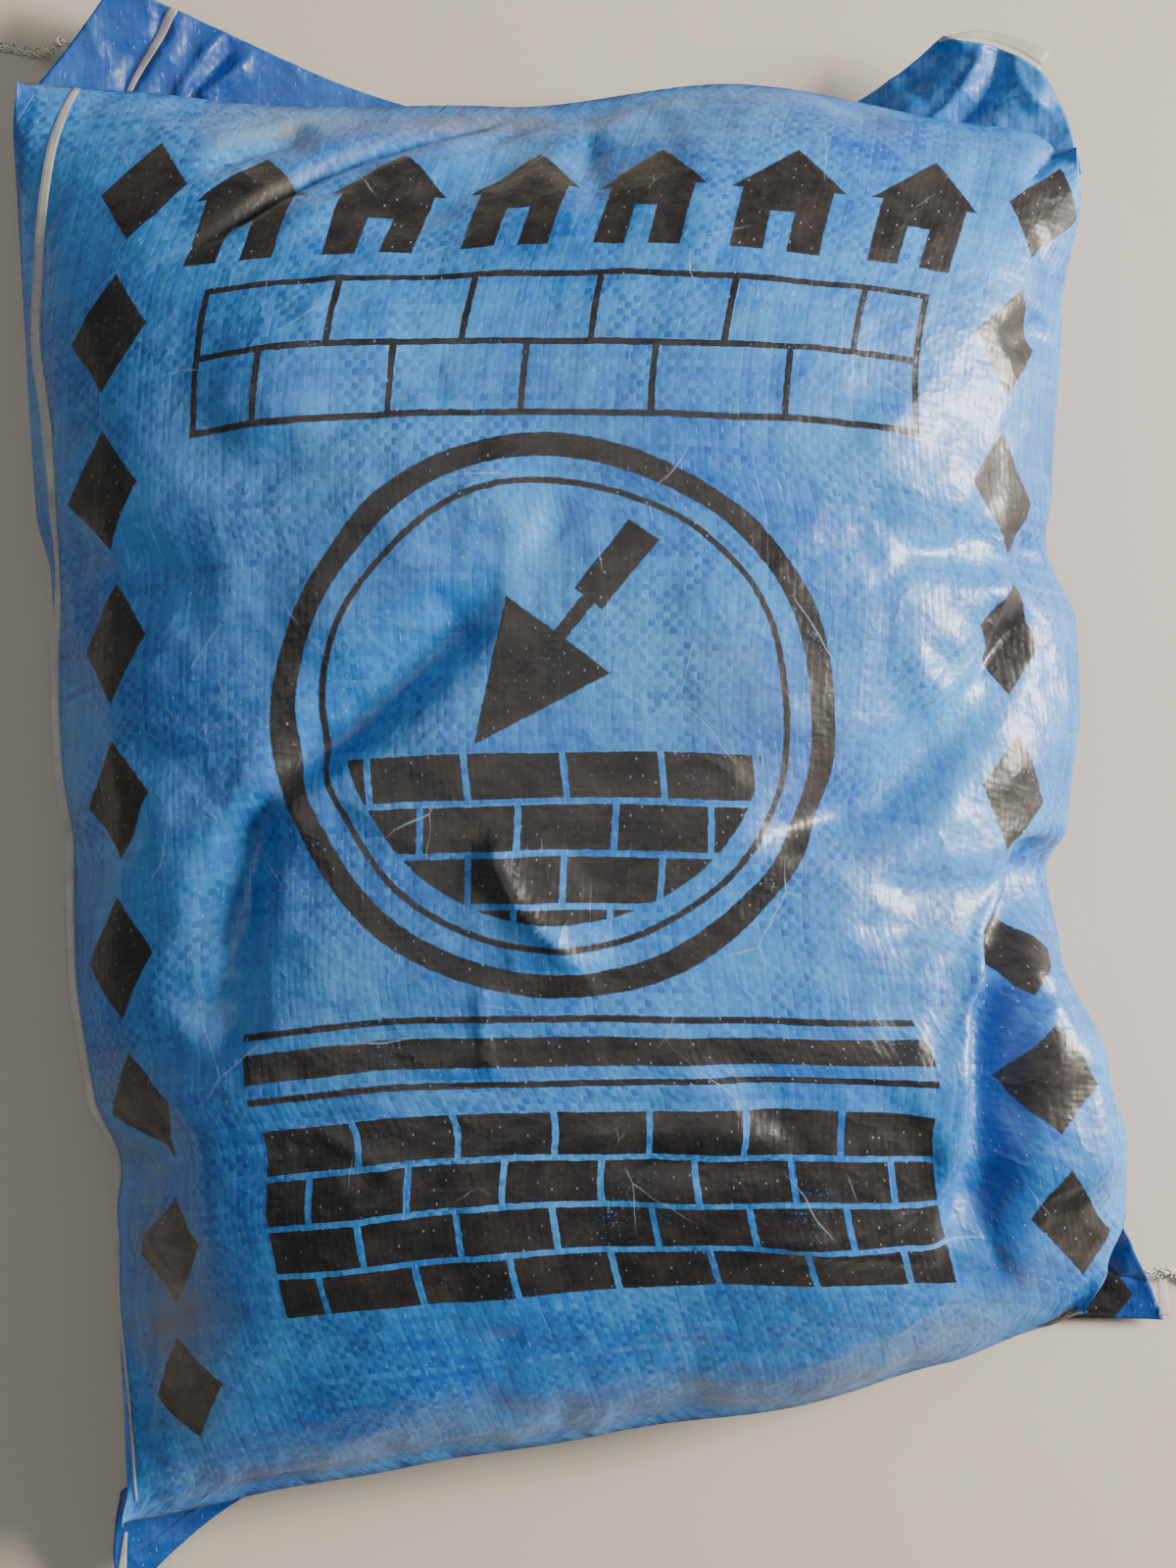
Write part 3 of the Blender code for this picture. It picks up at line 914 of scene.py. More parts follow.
    def _pinholes(self, tree: NodeTree, uv: Node) -> Node:
        """Rows of needle holes in the film, which catch the light as dots.

        Args:
            tree: The material's node tree.
            uv: The place on the cloth.

        Returns:
            How white each place is.
        """
        spacing = (1 / self.pinhole_mm[0], 1 / self.pinhole_mm[1], 1.0)
        cells = add(tree, PLACE, uv, named={"Scale": spacing})
        dots = add(tree, "ShaderNodeTexVoronoi", cells, named={"Scale": 1.0, "Randomness": 0.75},
                   voronoi_dimensions="2D")
        dot = add(tree, REMAP, dots, 0.03, 0.065, 0.35, 0.0)
        patches = add(tree, NOISE, uv, named={"Scale": 1 / self.pinhole_patch_mm, "Detail": 2.0})
        show = add(tree, REMAP, patches, 0.45, 0.6, 0.15, 1.0)
        return add(tree, MATH, dot, show, operation="MULTIPLY")

    def _white_lines(self, tree: NodeTree, uv: Node) -> Node:
        """Fine white lines where the film has been creased.

        Args:
            tree: The material's node tree.
            uv: The place on the cloth.

        Returns:
            How white each place is.
        """
        bent = add(tree, NOISE, uv, named={"Scale": 1 / self.crease_bend_mm, "Detail": 3.0})
        shift = (self.crease_shift_mm, self.crease_shift_mm, 0.0)
        moved = add(tree, VECTOR, bent.outputs["Color"], shift, uv, operation="MULTIPLY_ADD")
        cells = add(tree, PLACE, moved, named={"Scale": (1 / self.crease_mm[0], 1 / self.crease_mm[1], 1.0)})
        edges = add(tree, "ShaderNodeTexVoronoi", cells, named={"Scale": 1.0}, voronoi_dimensions="2D",
                    feature="DISTANCE_TO_EDGE")
        line = add(tree, REMAP, edges, 0.0, 0.007, 0.40, 0.0)
        patches = add(tree, NOISE, uv, named={"Scale": 1 / self.crease_patch_mm, "Detail": 2.0})
        show = add(tree, REMAP, patches, 0.56, 0.68, 0.0, 1.0)
        return add(tree, MATH, line, show, operation="MULTIPLY")

    def _soiling(self, tree: NodeTree, uv: Node, dirt: Node) -> Node:
        """How much dust covers the cloth: the drawn patches, broken up.

        Args:
            tree: The material's node tree.
            uv: The place on the cloth.
            dirt: The drawn patches.

        Returns:
            The dust, from 0 to 1.
        """
        cloud = add(tree, NOISE, uv, named={"Scale": 1 / self.dirt_cloud_mm, "Detail": 6.0, "Roughness": 0.7})
        broken = add(tree, REMAP, cloud, 0.30, 0.65, 0.25, 1.0)
        return add(tree, MATH, dirt.outputs["Fac"], broken, operation="MULTIPLY", use_clamp=True)

    def _relief(self, tree: NodeTree, uv: Node, shader: Node,
                checks: Node, streaks: Node) -> None:
        """Relief of the weave and the fine crinkles of the film over it.

        Args:
            tree: The material's node tree.
            uv: The place on the cloth.
            shader: The shader that gets it.
            checks: The plain weave.
            streaks: The tapes' streaks.
        """
        parts = add(tree, "ShaderNodeSeparateXYZ", add(tree, VECTOR, uv, (math.pi / self.tape_mm,) * 3,
                                                       operation="MULTIPLY"))
        tapes = [add(tree, MATH, add(tree, MATH, parts.outputs[axis], operation="SINE"), operation="ABSOLUTE")
                 for axis in (0, 1)]
        height = add(tree, MATH, tapes[1], 0.5, tapes[0], operation="MULTIPLY_ADD")
        raised = add(tree, MATH, checks, 0.15, height, operation="MULTIPLY_ADD")
        weave = add(tree, "ShaderNodeBump", named={"Strength": 0.5, "Distance": 0.00006, "Height": raised})
        ribs = add(tree, "ShaderNodeBump", named={"Strength": 0.5, "Distance": 0.0003, "Height": streaks,
                                                  "Normal": weave})
        spots = add(tree, NOISE, uv, named={"Scale": 1 / self.crinkle_mm, "Detail": 3.0, "Roughness": 0.5})
        creased = add(tree, MATH, spots, 0.5, operation="SUBTRACT")
        facets = add(tree, MATH, creased, operation="ABSOLUTE")
        crinkle = add(tree, "ShaderNodeBump", named={"Strength": 0.8, "Distance": 0.0024, "Height": facets,
                                                     "Normal": ribs}, invert=True)
        for name in ("Normal", "Coat Normal"):
            tree.links.new(crinkle.outputs[0], shader.inputs[name])


@dataclass(frozen=True)
class ClearFilm:
    """Edge of the clear laminating film: extruded polypropylene, thin, milky and scratched."""

    tint: str = "B2ADA6"
    pale: str = "DCD6CC"
    alpha: float = 0.56
    cloud_mm: float = 8.33333

    def build(self) -> Material:
        """Make the film's material.

        Returns:
            The material.
        """
        material = bpy.data.materials.new("polypropylene_film_clear")
        material.use_nodes = True
        tree = material.node_tree
        shader = tree.nodes["Principled BSDF"]
        shader.inputs["IOR"].default_value = 1.49
        shader.inputs["Alpha"].default_value = self.alpha
        shader.inputs["Coat Weight"].default_value = 0.4
        shader.inputs["Coat Roughness"].default_value = 0.15
        place = add(tree, "ShaderNodeTexCoord")
        size = {"Scale": 1 / (self.cloud_mm * MM), "Detail": 4.0}
        cloud = add(tree, NOISE, place.outputs["Object"], named=size)
        tint = add(tree, BLEND, cloud, named={6: linear(self.tint), 7: linear(self.pale)}, data_type="RGBA")
        tree.links.new(tint.outputs[2], shader.inputs["Base Color"])
        rough = add(tree, REMAP, cloud, 0.3, 0.7, 0.22, 0.42)
        tree.links.new(rough.outputs[0], shader.inputs["Roughness"])
        bump = add(tree, "ShaderNodeBump", named={"Strength": 0.5, "Distance": 0.0005, "Height": cloud})
        tree.links.new(bump.outputs[0], shader.inputs["Normal"])
        return material


@dataclass(frozen=True)
class SewingThread:
    """Undyed spun cotton sewing thread, two plies twisted: matt, with slanting dark lines of painted shade
    between the plies.
    """

    cream: str = "F0E9DA"
    painted_groove_shade: str = "B9AE98"
    twist_mm: float = 1.6

    def build(self) -> Material:
        """Make the thread's material.

        Returns:
            The material, which reads the UV map in millimetres along and round the thread.
        """
        material = bpy.data.materials.new("cotton_spun_twisted")
        material.use_nodes = True
        tree = material.node_tree
        shader = tree.nodes["Principled BSDF"]
        shader.inputs["Roughness"].default_value = 0.9
        shader.inputs["Sheen Weight"].default_value = 0.3
        uv = add(tree, "ShaderNodeUVMap", uv_map="thread_mm")
        parts = add(tree, "ShaderNodeSeparateXYZ", uv)
        slant = add(tree, MATH, parts.outputs[0], 2 * math.pi / self.twist_mm, operation="MULTIPLY")
        turn = add(tree, MATH, parts.outputs[1], 4 * math.pi, slant, operation="MULTIPLY_ADD")
        ply = add(tree, MATH, turn, operation="SINE")
        # Painted shade: dark slanting lines in the grooves between the plies.
        share = add(tree, REMAP, ply, -1.0, 0.2, 0.75, 0.0)
        plies = {6: linear(self.cream), 7: linear(self.painted_groove_shade)}
        colour = add(tree, BLEND, share, named=plies, data_type="RGBA")
        tree.links.new(colour.outputs[2], shader.inputs["Base Color"])
        bump = add(tree, "ShaderNodeBump", named={"Strength": 0.8, "Distance": 0.0002, "Height": ply})
        tree.links.new(bump.outputs[0], shader.inputs["Normal"])
        return material


@dataclass(frozen=True)
class ClothLine:
    """A smooth line on the bag, seen from above, in millimetres."""

    points: Knots
    width: float
    fading_part: float = field(default=0.25, kw_only=True)
    tip_width: float = field(default=0.45, kw_only=True)

    def measure(self, places: Array) -> tuple[Array, Array]:
        """How far points lie from the line.

        Args:
            places: Points in metres, one a row, of which X and Y are read.

        Returns:
            Signed distances in widths of the line, positive to its left, and how
            full the line is there, from 0 at its ends to 1.
        """
        x, y = places[:, 0], places[:, 1]
        line = np.array([point[:2] for point in smooth_curve(self.points, steps=5)]) * MM
        nearest, along, side = np.full(x.shape, 1e9), np.zeros(x.shape), np.ones(x.shape)
        lengths = np.linalg.norm(np.diff(line, axis=0), axis=1)
        run = 0.0
        for start, end, length in zip(line, line[1:], lengths):
            way = (end - start) / length
            share = np.clip((x - start[0]) * way[0] + (y - start[1]) * way[1], 0.0, length)
            away_x, away_y = x - start[0] - share * way[0], y - start[1] - share * way[1]
            distance = np.hypot(away_x, away_y)
            closer = distance < nearest
            nearest = np.where(closer, distance, nearest)
            along = np.where(closer, (run + share) / lengths.sum(), along)
            side = np.where(closer, np.sign(way[0] * away_y - way[1] * away_x), side)
            run += length
        fade = np.clip(np.minimum(along, 1 - along) / self.fading_part, 0.0, 1.0)
        fade = fade * fade * (3 - 2 * fade)
        wide = self.width * MM * (self.tip_width + (1 - self.tip_width) * fade)
        return side * nearest / wide, fade


@dataclass(frozen=True)
class FoldLine(ClothLine):
    """One fold of the cloth, its depth in millimetres."""

    kind: Fold
    depth: float

    def height(self, places: Array) -> Array:
        """How far the fold lifts the cloth.

        Args:
            places: Points in metres, one a row.

        Returns:
            Metres out of the surface, negative in a hollow.
        """
        reach, fade = self.measure(places)
        away = np.abs(reach)
        shapes = {
            Fold.VALLEY: -np.exp(-away**2),
            Fold.SWELL: np.exp(-away**2),
            Fold.CREASE: -np.exp(-1.5 * away),
            Fold.RIDGE: np.exp(-1.5 * away),
            Fold.STEP: reach * np.exp((1 - reach**2) / 2),
        }
        return shapes[self.kind] * self.depth * MM * fade


@dataclass(frozen=True)
class Smear(ClothLine):
    """A soft stroke along a line, used for dust and for painted shade in hollows."""

    strength: float

    def amount(self, places: Array) -> Array:
        """How strong the stroke is at some points, from 0 to its strength."""
        reach, fade = self.measure(places)
        return self.strength * np.exp(-reach**2) * fade


@dataclass(frozen=True)
class BodyOutline:
    """Outline of the filled part seen from above: four corners and four bowed edges."""

    top_left: Point = (-0.2036, 0.2526)
    top_width: float = 0.374
    top_drop: float = 0.019
    left_length: float = 0.508
    left_lean: float = 0.037
    bottom_width: float = 0.337
    bottom_rise: float = 0.074
    corner_tuck: float = 0.005
    corner_tuck_reach: float = 0.014
    top_bows: Knots = ((0.1, -0.001), (0.24, -0.0035), (0.45, 0.0005), (0.68, 0.0125), (0.93, 0.002))
    bottom_bows: Knots = (
        (0.15, 0.0005), (0.3, 0.0025), (0.5, 0.0058), (0.7, 0.0107), (0.85, 0.007), (0.96, 0.002),
    )
    left_bows: Knots = (
        (0.04, 0.0025), (0.3, 0.0035), (0.345, 0.000), (0.48, 0.0028), (0.53, 0.001), (0.62, 0.002),
        (0.70, -0.0015), (0.745, -0.0085), (0.8, -0.0055), (0.9, -0.004), (0.97, -0.003),
    )
    right_bows: Knots = (
        (0.05, -0.001), (0.15, -0.008), (0.3, -0.0115), (0.345, -0.014), (0.42, -0.003), (0.48, -0.002),
        (0.585, -0.006), (0.62, -0.0135), (0.69, -0.009), (0.78, 0.0055), (0.85, 0.0145), (0.91, 0.0145),
        (0.96, 0.008),
    )

    def corners(self) -> tuple[Array, Array, Array, Array]:
        """The corners: top left, top right, bottom left and bottom right.

        Returns:
            X and Y of each.
        """
        top_left = np.array(self.top_left)
        bottom_left = top_left + (self.left_lean, -self.left_length)
        return (top_left, top_left + (self.top_width, -self.top_drop), bottom_left,
                bottom_left + (self.bottom_width, self.bottom_rise))

    def middle_length(self) -> float:
        """Length of the body along its middle."""
        return self.left_length - self.bottom_rise / 2

    def edge(self, start: Array, end: Array, bows: Knots, part: Array, side: int) -> Array:
        """Points of one bowed edge.

        Args:
            start: The corner it starts from.
            end: The corner it ends at.
            bows: Parts along the edge with the distance that it stands out there.
            part: How far along each wanted point is, from 0 to 1.
            side: 1 or -1, the side that faces out.

        Returns:
            One X and Y a row.
        """
        knots = np.array(((0.0, 0.0), *bows, (1.0, 0.0)))
        span = np.clip(np.searchsorted(knots[:, 0], part, side="right") - 1, 0, len(knots) - 2)
        share = (part - knots[span, 0]) / (knots[span + 1, 0] - knots[span, 0])
        out = knots[span, 1] + (knots[span + 1, 1] - knots[span, 1]) * share * share * (3 - 2 * share)
        along = end - start
        outwards = side * np.array((-along[1], along[0])) / np.hypot(*along)
        return start + part[:, None] * along + out[:, None] * outwards

    def place(self, across: Array, down: Array) -> Array:
        """Points of the body seen from above.

        Args:
            across: Part of the way from the left edge to the right, 0 to 1.
            down: Part of the way from the top edge to the bottom, 0 to 1.

        Returns:
            One X and Y a row.
        """
        top_left, top_right, bottom_left, bottom_right = self.corners()
        top = self.edge(top_left, top_right, self.top_bows, across, 1)
        bottom = self.edge(bottom_left, bottom_right, self.bottom_bows, across, -1)
        left = self.edge(top_left, bottom_left, self.left_bows, down, -1)
        right = self.edge(top_right, bottom_right, self.right_bows, down, 1)
        a, d = across[:, None], down[:, None]
        flat = (top_left * (1 - a) + top_right * a) * (1 - d) + (bottom_left * (1 - a) + bottom_right * a) * d
        points = top * (1 - d) + bottom * d + left * (1 - a) + right * a - flat
        away = np.linalg.norm(points - top_right, axis=1) / self.corner_tuck_reach
        diagonal = (top_right - bottom_left) / np.linalg.norm(top_right - bottom_left)
        return points - self.corner_tuck * np.exp(-away**2)[:, None] * diagonal

    def drawn(self, line: ClothLine) -> ClothLine:
        """The same line, its parts of the width and length turned into millimetres."""
        across, down = np.array(line.points).T
        return replace(line, points=tuple(map(tuple, self.place(across, down) / MM)))


# Points as parts of the body's width and length, from its top left corner
MAIN_FOLDS = (
    FoldLine(((0.46, 0.35), (0.41, 0.39), (0.36, 0.42), (0.31, 0.45), (0.25, 0.48), (0.21, 0.51)), 12.0,
             Fold.VALLEY, 9.0),
    FoldLine(((0.23, 0.49), (0.20, 0.53), (0.18, 0.58), (0.18, 0.62), (0.14, 0.69)), 11.0, Fold.VALLEY, 8.0),
    FoldLine(((0.45, 0.19), (0.39, 0.22), (0.33, 0.24), (0.26, 0.27), (0.20, 0.29)), 11.0, Fold.VALLEY, 3.0),
    FoldLine(((0.52, 0.28), (0.42, 0.32), (0.33, 0.37), (0.22, 0.41)), 22.0, Fold.SWELL, 4.0),
    FoldLine(((0.51, 0.04), (0.45, 0.05), (0.39, 0.08), (0.33, 0.11), (0.27, 0.16)), 14.0, Fold.VALLEY, 4.5),
    FoldLine(((0.37, 0.09), (0.31, 0.15), (0.27, 0.21), (0.23, 0.29)), 24.0, Fold.SWELL, 4.0),
    FoldLine(((0.99, 0.37), (0.93, 0.42), (0.89, 0.46), (0.85, 0.50), (0.80, 0.54), (0.73, 0.56),
              (0.66, 0.57)), 15.0, Fold.VALLEY, 12.0),
    FoldLine(((0.95, 0.36), (0.90, 0.41), (0.86, 0.45), (0.80, 0.48)), 12.0, Fold.SWELL, 4.0),
    FoldLine(((0.98, 0.58), (0.97, 0.63), (0.93, 0.66), (0.91, 0.70)), 11.0, Fold.VALLEY, 10.0),
    FoldLine(((0.93, 0.66), (0.91, 0.71), (0.88, 0.76), (0.86, 0.82), (0.83, 0.86), (0.80, 0.91)), 11.0,
             Fold.VALLEY, 13.0),
    FoldLine(((0.93, 0.57), (0.91, 0.63), (0.86, 0.69), (0.82, 0.75), (0.80, 0.82)), 12.0, Fold.SWELL, 4.5),
    FoldLine(((0.96, 0.65), (0.96, 0.71), (0.96, 0.77), (0.95, 0.84), (0.93, 0.91)), 14.0, Fold.SWELL, 8.0),
    FoldLine(((0.06, 0.68), (0.06, 0.74), (0.07, 0.80), (0.06, 0.87)), 11.0, Fold.VALLEY, 6.0),
    FoldLine(((0.24, 0.90), (0.41, 0.91), (0.56, 0.92), (0.71, 0.90)), 15.0, Fold.VALLEY, 3.0),
    FoldLine(((0.79, 0.25), (0.85, 0.29), (0.93, 0.33)), 17.0, Fold.SWELL, 3.5),
    FoldLine(((0.63, 0.36), (0.66, 0.44), (0.74, 0.50)), 18.0, Fold.SWELL, 3.0),
    FoldLine(((0.12, 0.35), (0.14, 0.48), (0.11, 0.62)), 15.0, Fold.SWELL, 3.0),
    FoldLine(((0.41, 0.53), (0.45, 0.59), (0.53, 0.67)), 14.0, Fold.SWELL, 4.0),
)

# Points in millimetres on the bag, seen from above
FINE_FOLDS = (
    FoldLine(((-20, 246), (-45, 236), (-69, 227), (-92, 216), (-107, 206), (-123, 195), (-148, 176)), 2.2,
             Fold.CREASE, 5.0),
    FoldLine(((-24, 236), (-44, 226), (-66, 214), (-86, 200)), 3.0, Fold.CREASE, 1.6),
    FoldLine(((-80, 184), (-89, 170), (-98, 156)), 6.0, Fold.RIDGE, 1.8),
    FoldLine(((-44, 140), (-70, 130), (-98, 114)), 3.0, Fold.CREASE, 1.0),
    FoldLine(((-30, 230), (-56, 219), (-75, 208), (-94, 197), (-112, 184)), 7.0, Fold.SWELL, 3.0),
    FoldLine(((-102, 239), (-121, 231), (-140, 224)), 4.5, Fold.RIDGE, 1.6),
    FoldLine(((-96, 232), (-116, 224), (-136, 214)), 5.0, Fold.CREASE, 2.2),
    FoldLine(((-42, 66), (-60, 46), (-78, 30), (-96, 14), (-110, -2), (-117, -20)), 8.0, Fold.VALLEY, 2.5),
    FoldLine(((-108, 2), (-117, -16), (-120, -36), (-123, -56)), 5.0, Fold.CREASE, 2.0),
    FoldLine(((-164, -119), (-154, -131), (-150, -152)), 8.0, Fold.VALLEY, 4.5),
    FoldLine(((-170, -108), (-156, -123), (-152, -141), (-155, -164)), 4.5, Fold.RIDGE, 3.0),
    FoldLine(((-164, -126), (-165, -150), (-160, -174)), 4.5, Fold.CREASE, 3.0),
    FoldLine(((-150, -178), (-154, -200), (-158, -226)), 5.0, Fold.CREASE, 2.0),
    FoldLine(((136, 78), (133, 54), (126, 43), (113, 31), (98, 22)), 6.0, Fold.RIDGE, 3.0),
    FoldLine(((148, -12), (136, -32), (127, -47), (123, -64), (121, -85), (120, -110), (121, -132)), 4.0,
             Fold.RIDGE, 4.0),
    FoldLine(((149, -18), (134, -48), (128, -80), (125, -120), (120, -146)), 6.0, Fold.STEP, -3.5),
    FoldLine(((150, 66), (140, 52), (130, 40)), 5.0, Fold.CREASE, 2.6),
    FoldLine(((140, -120), (132, -144), (142, -168)), 6.0, Fold.CREASE, 3.0),
    FoldLine(((148, -60), (142, -90), (146, -118)), 5.0, Fold.CREASE, 2.6),
    FoldLine(((52, -146), (71, -147), (86, -146), (112, -137)), 3.5, Fold.RIDGE, 2.0),
    FoldLine(((52, -147), (78, -151), (96, -153), (118, -157)), 3.5, Fold.RIDGE, 1.8),
    FoldLine(((-10, -112), (26, -109), (48, -111), (70, -116)), 6.0, Fold.SWELL, 2.0),
    FoldLine(((8, -133), (38, -130), (70, -127)), 6.0, Fold.SWELL, 1.8),
    FoldLine(((-6, -122), (30, -120), (72, -122)), 5.0, Fold.VALLEY, 1.8),
    FoldLine(((-35, -4), (-31, -26), (-19, -42), (0, -60)), 6.0, Fold.RIDGE, 3.0),
    FoldLine(((-37, -54), (-38, -76), (-33, -96)), 5.0, Fold.RIDGE, 2.2),
    FoldLine(((-98, -107), (-74, -120), (-62, -131)), 3.5, Fold.RIDGE, 1.6),
    FoldLine(((-68, -90), (-46, -95), (-20, -96)), 3.0, Fold.CREASE, 1.4),
    FoldLine(((174, 240), (165, 231), (157, 224), (148, 212)), 4.5, Fold.CREASE, 5.0),
    FoldLine(((156, 166), (149, 161), (138, 151)), 7.0, Fold.VALLEY, 3.5),
    FoldLine(((152, 89), (146, 83), (139, 70)), 7.0, Fold.VALLEY, 3.0),
    FoldLine(((-6, 234), (0, 208), (12, 176)), 9.0, Fold.VALLEY, 2.2),
    FoldLine(((30, 236), (36, 205), (32, 170)), 8.0, Fold.SWELL, 1.6),
    FoldLine(((-180, 178), (-173, 132), (-174, 85), (-171, 34)), 8.0, Fold.VALLEY, 2.6),
    FoldLine(((-181, 62), (-172, 19), (-170, -15), (-174, -52)), 7.0, Fold.VALLEY, 2.6),
    FoldLine(((-12, 104), (-19, 75), (-30, 48)), 8.0, Fold.VALLEY, 2.4),
    FoldLine(((60, -196), (96, -184), (132, -160)), 6.0, Fold.RIDGE, 1.6),
)

# Where dust lies, in the same millimetres
DUST = (
    Smear(((-150, 236), (-112, 240), (-60, 238), (-20, 236)), 9.0, 0.40),
    Smear(((-140, 222), (-118, 231), (-96, 239)), 3.0, 0.45),
    Smear(((-128, 196), (-100, 212), (-74, 227), (-48, 239)), 2.5, 0.35),
    Smear(((-60, 236), (-40, 240), (-10, 239)), 5.0, 0.6),
    Smear(((-172, -70), (-160, -110), (-150, -160), (-146, -215)), 18.0, 0.55),
    Smear(((-150, -140), (-142, -180), (-140, -230)), 14.0, 0.45),
    Smear(((-160, -236), (-120, -236), (-60, -226)), 9.0, 0.30),
    Smear(((60, -206), (110, -190), (150, -172)), 9.0, 0.45),
    Smear(((-188, 200), (-180, 100), (-176, 0), (-170, -90)), 12.0, 0.30),
    Smear(((30, 60), (60, 20), (90, 0)), 20.0, 0.18),
    Smear(((60, -10), (100, -30), (120, -60)), 18.0, 0.15),
)

# Painted shade: the hollows of the main folds, painted deeper blue
PAINTED_HOLLOW_SHADE = (
    Smear(((134, -36), (135, -77), (136, -126), (140, -165), (152, -190)), 13.0, 0.85),
    Smear(((-42, 66), (-78, 30), (-110, -2), (-120, -36), (-124, -70)), 10.0, 0.35),
)


@dataclass(frozen=True)
class FilledBody:
    """The filled part of the sack: a closed skin, flat where it lies on the floor."""

    outline: BodyOutline = field(default_factory=BodyOutline)
    thickness: float = 0.1045
    side_rim: float = 0.040
    end_rim: float = 0.032
    underside_curve: float = 0.045
    wedge_length: float = 0.130
    wedge_rounding: float = 2.2
    dome_across: float = 2.5
    mesh_spacing: float = 0.0022
    profile_samples: int = 400
    left_u_mm: Point = (-8.0, 18.0)
    panel_width_mm: float = 430.0
    panel_edge_mm: float = 2.0
    # The back panel's deeper blue is partly painted shade.
    back_wear_and_shade: float = 0.25
    rim_part: float = 0.02
    clear_height: float = 0.008
    weld_reach: float = 0.00001
    bumps: tuple[Bumps, ...] = (
        Bumps(0.0020, 0.085, 5.3), Bumps(0.0009, 0.034, 1.9),
        Bumps(0.0010, 0.055, 3.1, creased=True), Bumps(0.0003, 0.018, 8.4, creased=True),
    )
    under_bumps: tuple[Bumps, ...] = (Bumps(0.0016, 0.040, 11.2), Bumps(0.0008, 0.020, 6.6, creased=True))

    def _spread(self, heights: Array, width: float) -> Array:
        """Parts across at which points lie evenly along a curved profile.

        Args:
            heights: Heights of the profile at evenly spaced parts of its width.
            width: Its whole width.

        Returns:
            The parts, 0 to 1, one for each mesh line.
        """
        parts = np.linspace(0.0, 1.0, len(heights))
        steps = np.hypot(np.diff(parts) * width, np.diff(heights))
        lengths = np.concatenate([[0.0], np.cumsum(steps)])
        count = round(lengths[-1] / self.mesh_spacing) + 1
        return np.interp(np.linspace(0.0, lengths[-1], count), lengths, parts)

    def rim(self, across: Array, down: Array) -> Array:
        """Height of the widest line of the body: lower at the folded ends than at the sides.

        Args:
            across: Part across of each point.
            down: Part down of each point.

        Returns:
            One height a point.
        """
        to_side = np.minimum(across, 1 - across)
        to_end = np.minimum(down, 1 - down)
        share = to_end / np.maximum(to_side + to_end, 1e-6)
        return self.end_rim + (self.side_rim - self.end_rim) * share

    def upper(self, across: Array, down: Array) -> Array:
        """Height of the upper skin before its folds: rounded across, a wedge at each end.

        Args:
            across: Part across of each point.
            down: Part down of each point.

        Returns:
            One height a point.
        """
        rim = self.rim(across, down)
        side = np.sqrt(np.clip(1 - np.abs(2 * across - 1) ** self.dome_across, 0.0, 1.0))
        to_end = np.minimum(down, 1 - down) * self.outline.middle_length()
        end = 1 - (1 - np.clip(to_end / self.wedge_length, 0.0, 1.0)) ** self.wedge_rounding
        return rim + (self.thickness - rim) * side * end

    def under(self, across: Array, down: Array) -> Array:
        """Height of the under skin, flat where it carries the weight.

        Args:
            across: Part across of each point.
            down: Part down of each point.

        Returns:
            One height a point.
        """
        width = (self.outline.top_width + self.outline.bottom_width) / 2
        to_side = np.minimum(across, 1 - across) * width
        to_end = np.minimum(down, 1 - down) * self.outline.middle_length()
        rise = np.ones_like(across)
        for distance in (to_side, to_end):
            share = np.clip(distance / self.underside_curve, 0.0, 1.0)
            rise *= np.sqrt(1 - (1 - share) ** 2)
        return self.rim(across, down) * (1 - rise)

    def build(self) -> Mesh:
        """Make the skin.

        Returns:
            A closed mesh with a UV map in millimetres of flat cloth.
        """
        parts = np.linspace(0.0, 1.0, self.profile_samples)
        middle = np.full_like(parts, 0.5)
        columns = self._spread(self.upper(parts, middle), self.outline.top_width)
        rows = self._spread(self.upper(middle, parts), self.outline.left_length)
        shape = (len(columns), len(rows), 3)
        across, down = (grid.ravel() for grid in np.meshgrid(columns, rows, indexing="ij"))
        flat = self.outline.place(across, down)
        smooth = np.column_stack([flat, self.upper(across, down)]).reshape(shape)
        under = np.column_stack([flat, self.under(across, down)]).reshape(shape)
        upper = self._folded(smooth, across.reshape(shape[:2]), down.reshape(shape[:2]))
        lower = self._wrinkled_under(under)
        for line in (np.s_[0, :], np.s_[-1, :], np.s_[:, 0], np.s_[:, -1]):
            lower[line] = upper[line]
        return self._skin(upper, lower, self._cloth_maps(smooth, under, rows))

    def _folded(self, grid: Array, across: Array, down: Array) -> Array:
        """Press the folds and small crumples into the upper skin.

        Args:
            grid: Its points, as columns, rows and coordinates.
            across: Part across of each point.
            down: Part down of each point.

        Returns:
            The moved points.
        """
        normals = np.cross(np.gradient(grid, axis=1), np.gradient(grid, axis=0))
        normals /= np.maximum(np.linalg.norm(normals, axis=2, keepdims=True), 1e-9)
        normals *= np.sign(normals[..., 2:3] + 1e-9)
        places = grid.reshape(-1, 3)
        folds = [self.outline.drawn(fold) for fold in MAIN_FOLDS] + list(FINE_FOLDS)
        lift = sum(shape.height(places) for shape in (*folds, *self.bumps))
        to_rim = np.minimum(np.minimum(across, 1 - across), np.minimum(down, 1 - down))
        hold = np.clip(to_rim / self.rim_part, 0.0, 1.0) ** 0.7
        return grid + normals * (lift.reshape(hold.shape) * hold)[..., None]

    def _wrinkled_under(self, grid: Array) -> Array:
        """Wrinkle the under skin where it hangs clear of the floor.

        Args:
            grid: Its points, as columns, rows and coordinates.

        Returns:
            The moved points.
        """
        places = grid.reshape(-1, 3)
        wave = sum(bumps.height(places) for bumps in self.under_bumps)
        clear = np.clip(grid[..., 2] / self.clear_height, 0.0, 1.0)
        moved = grid.copy()
        moved[..., 2] = np.maximum(0.0, grid[..., 2] + wave.reshape(clear.shape) * clear)
        return moved

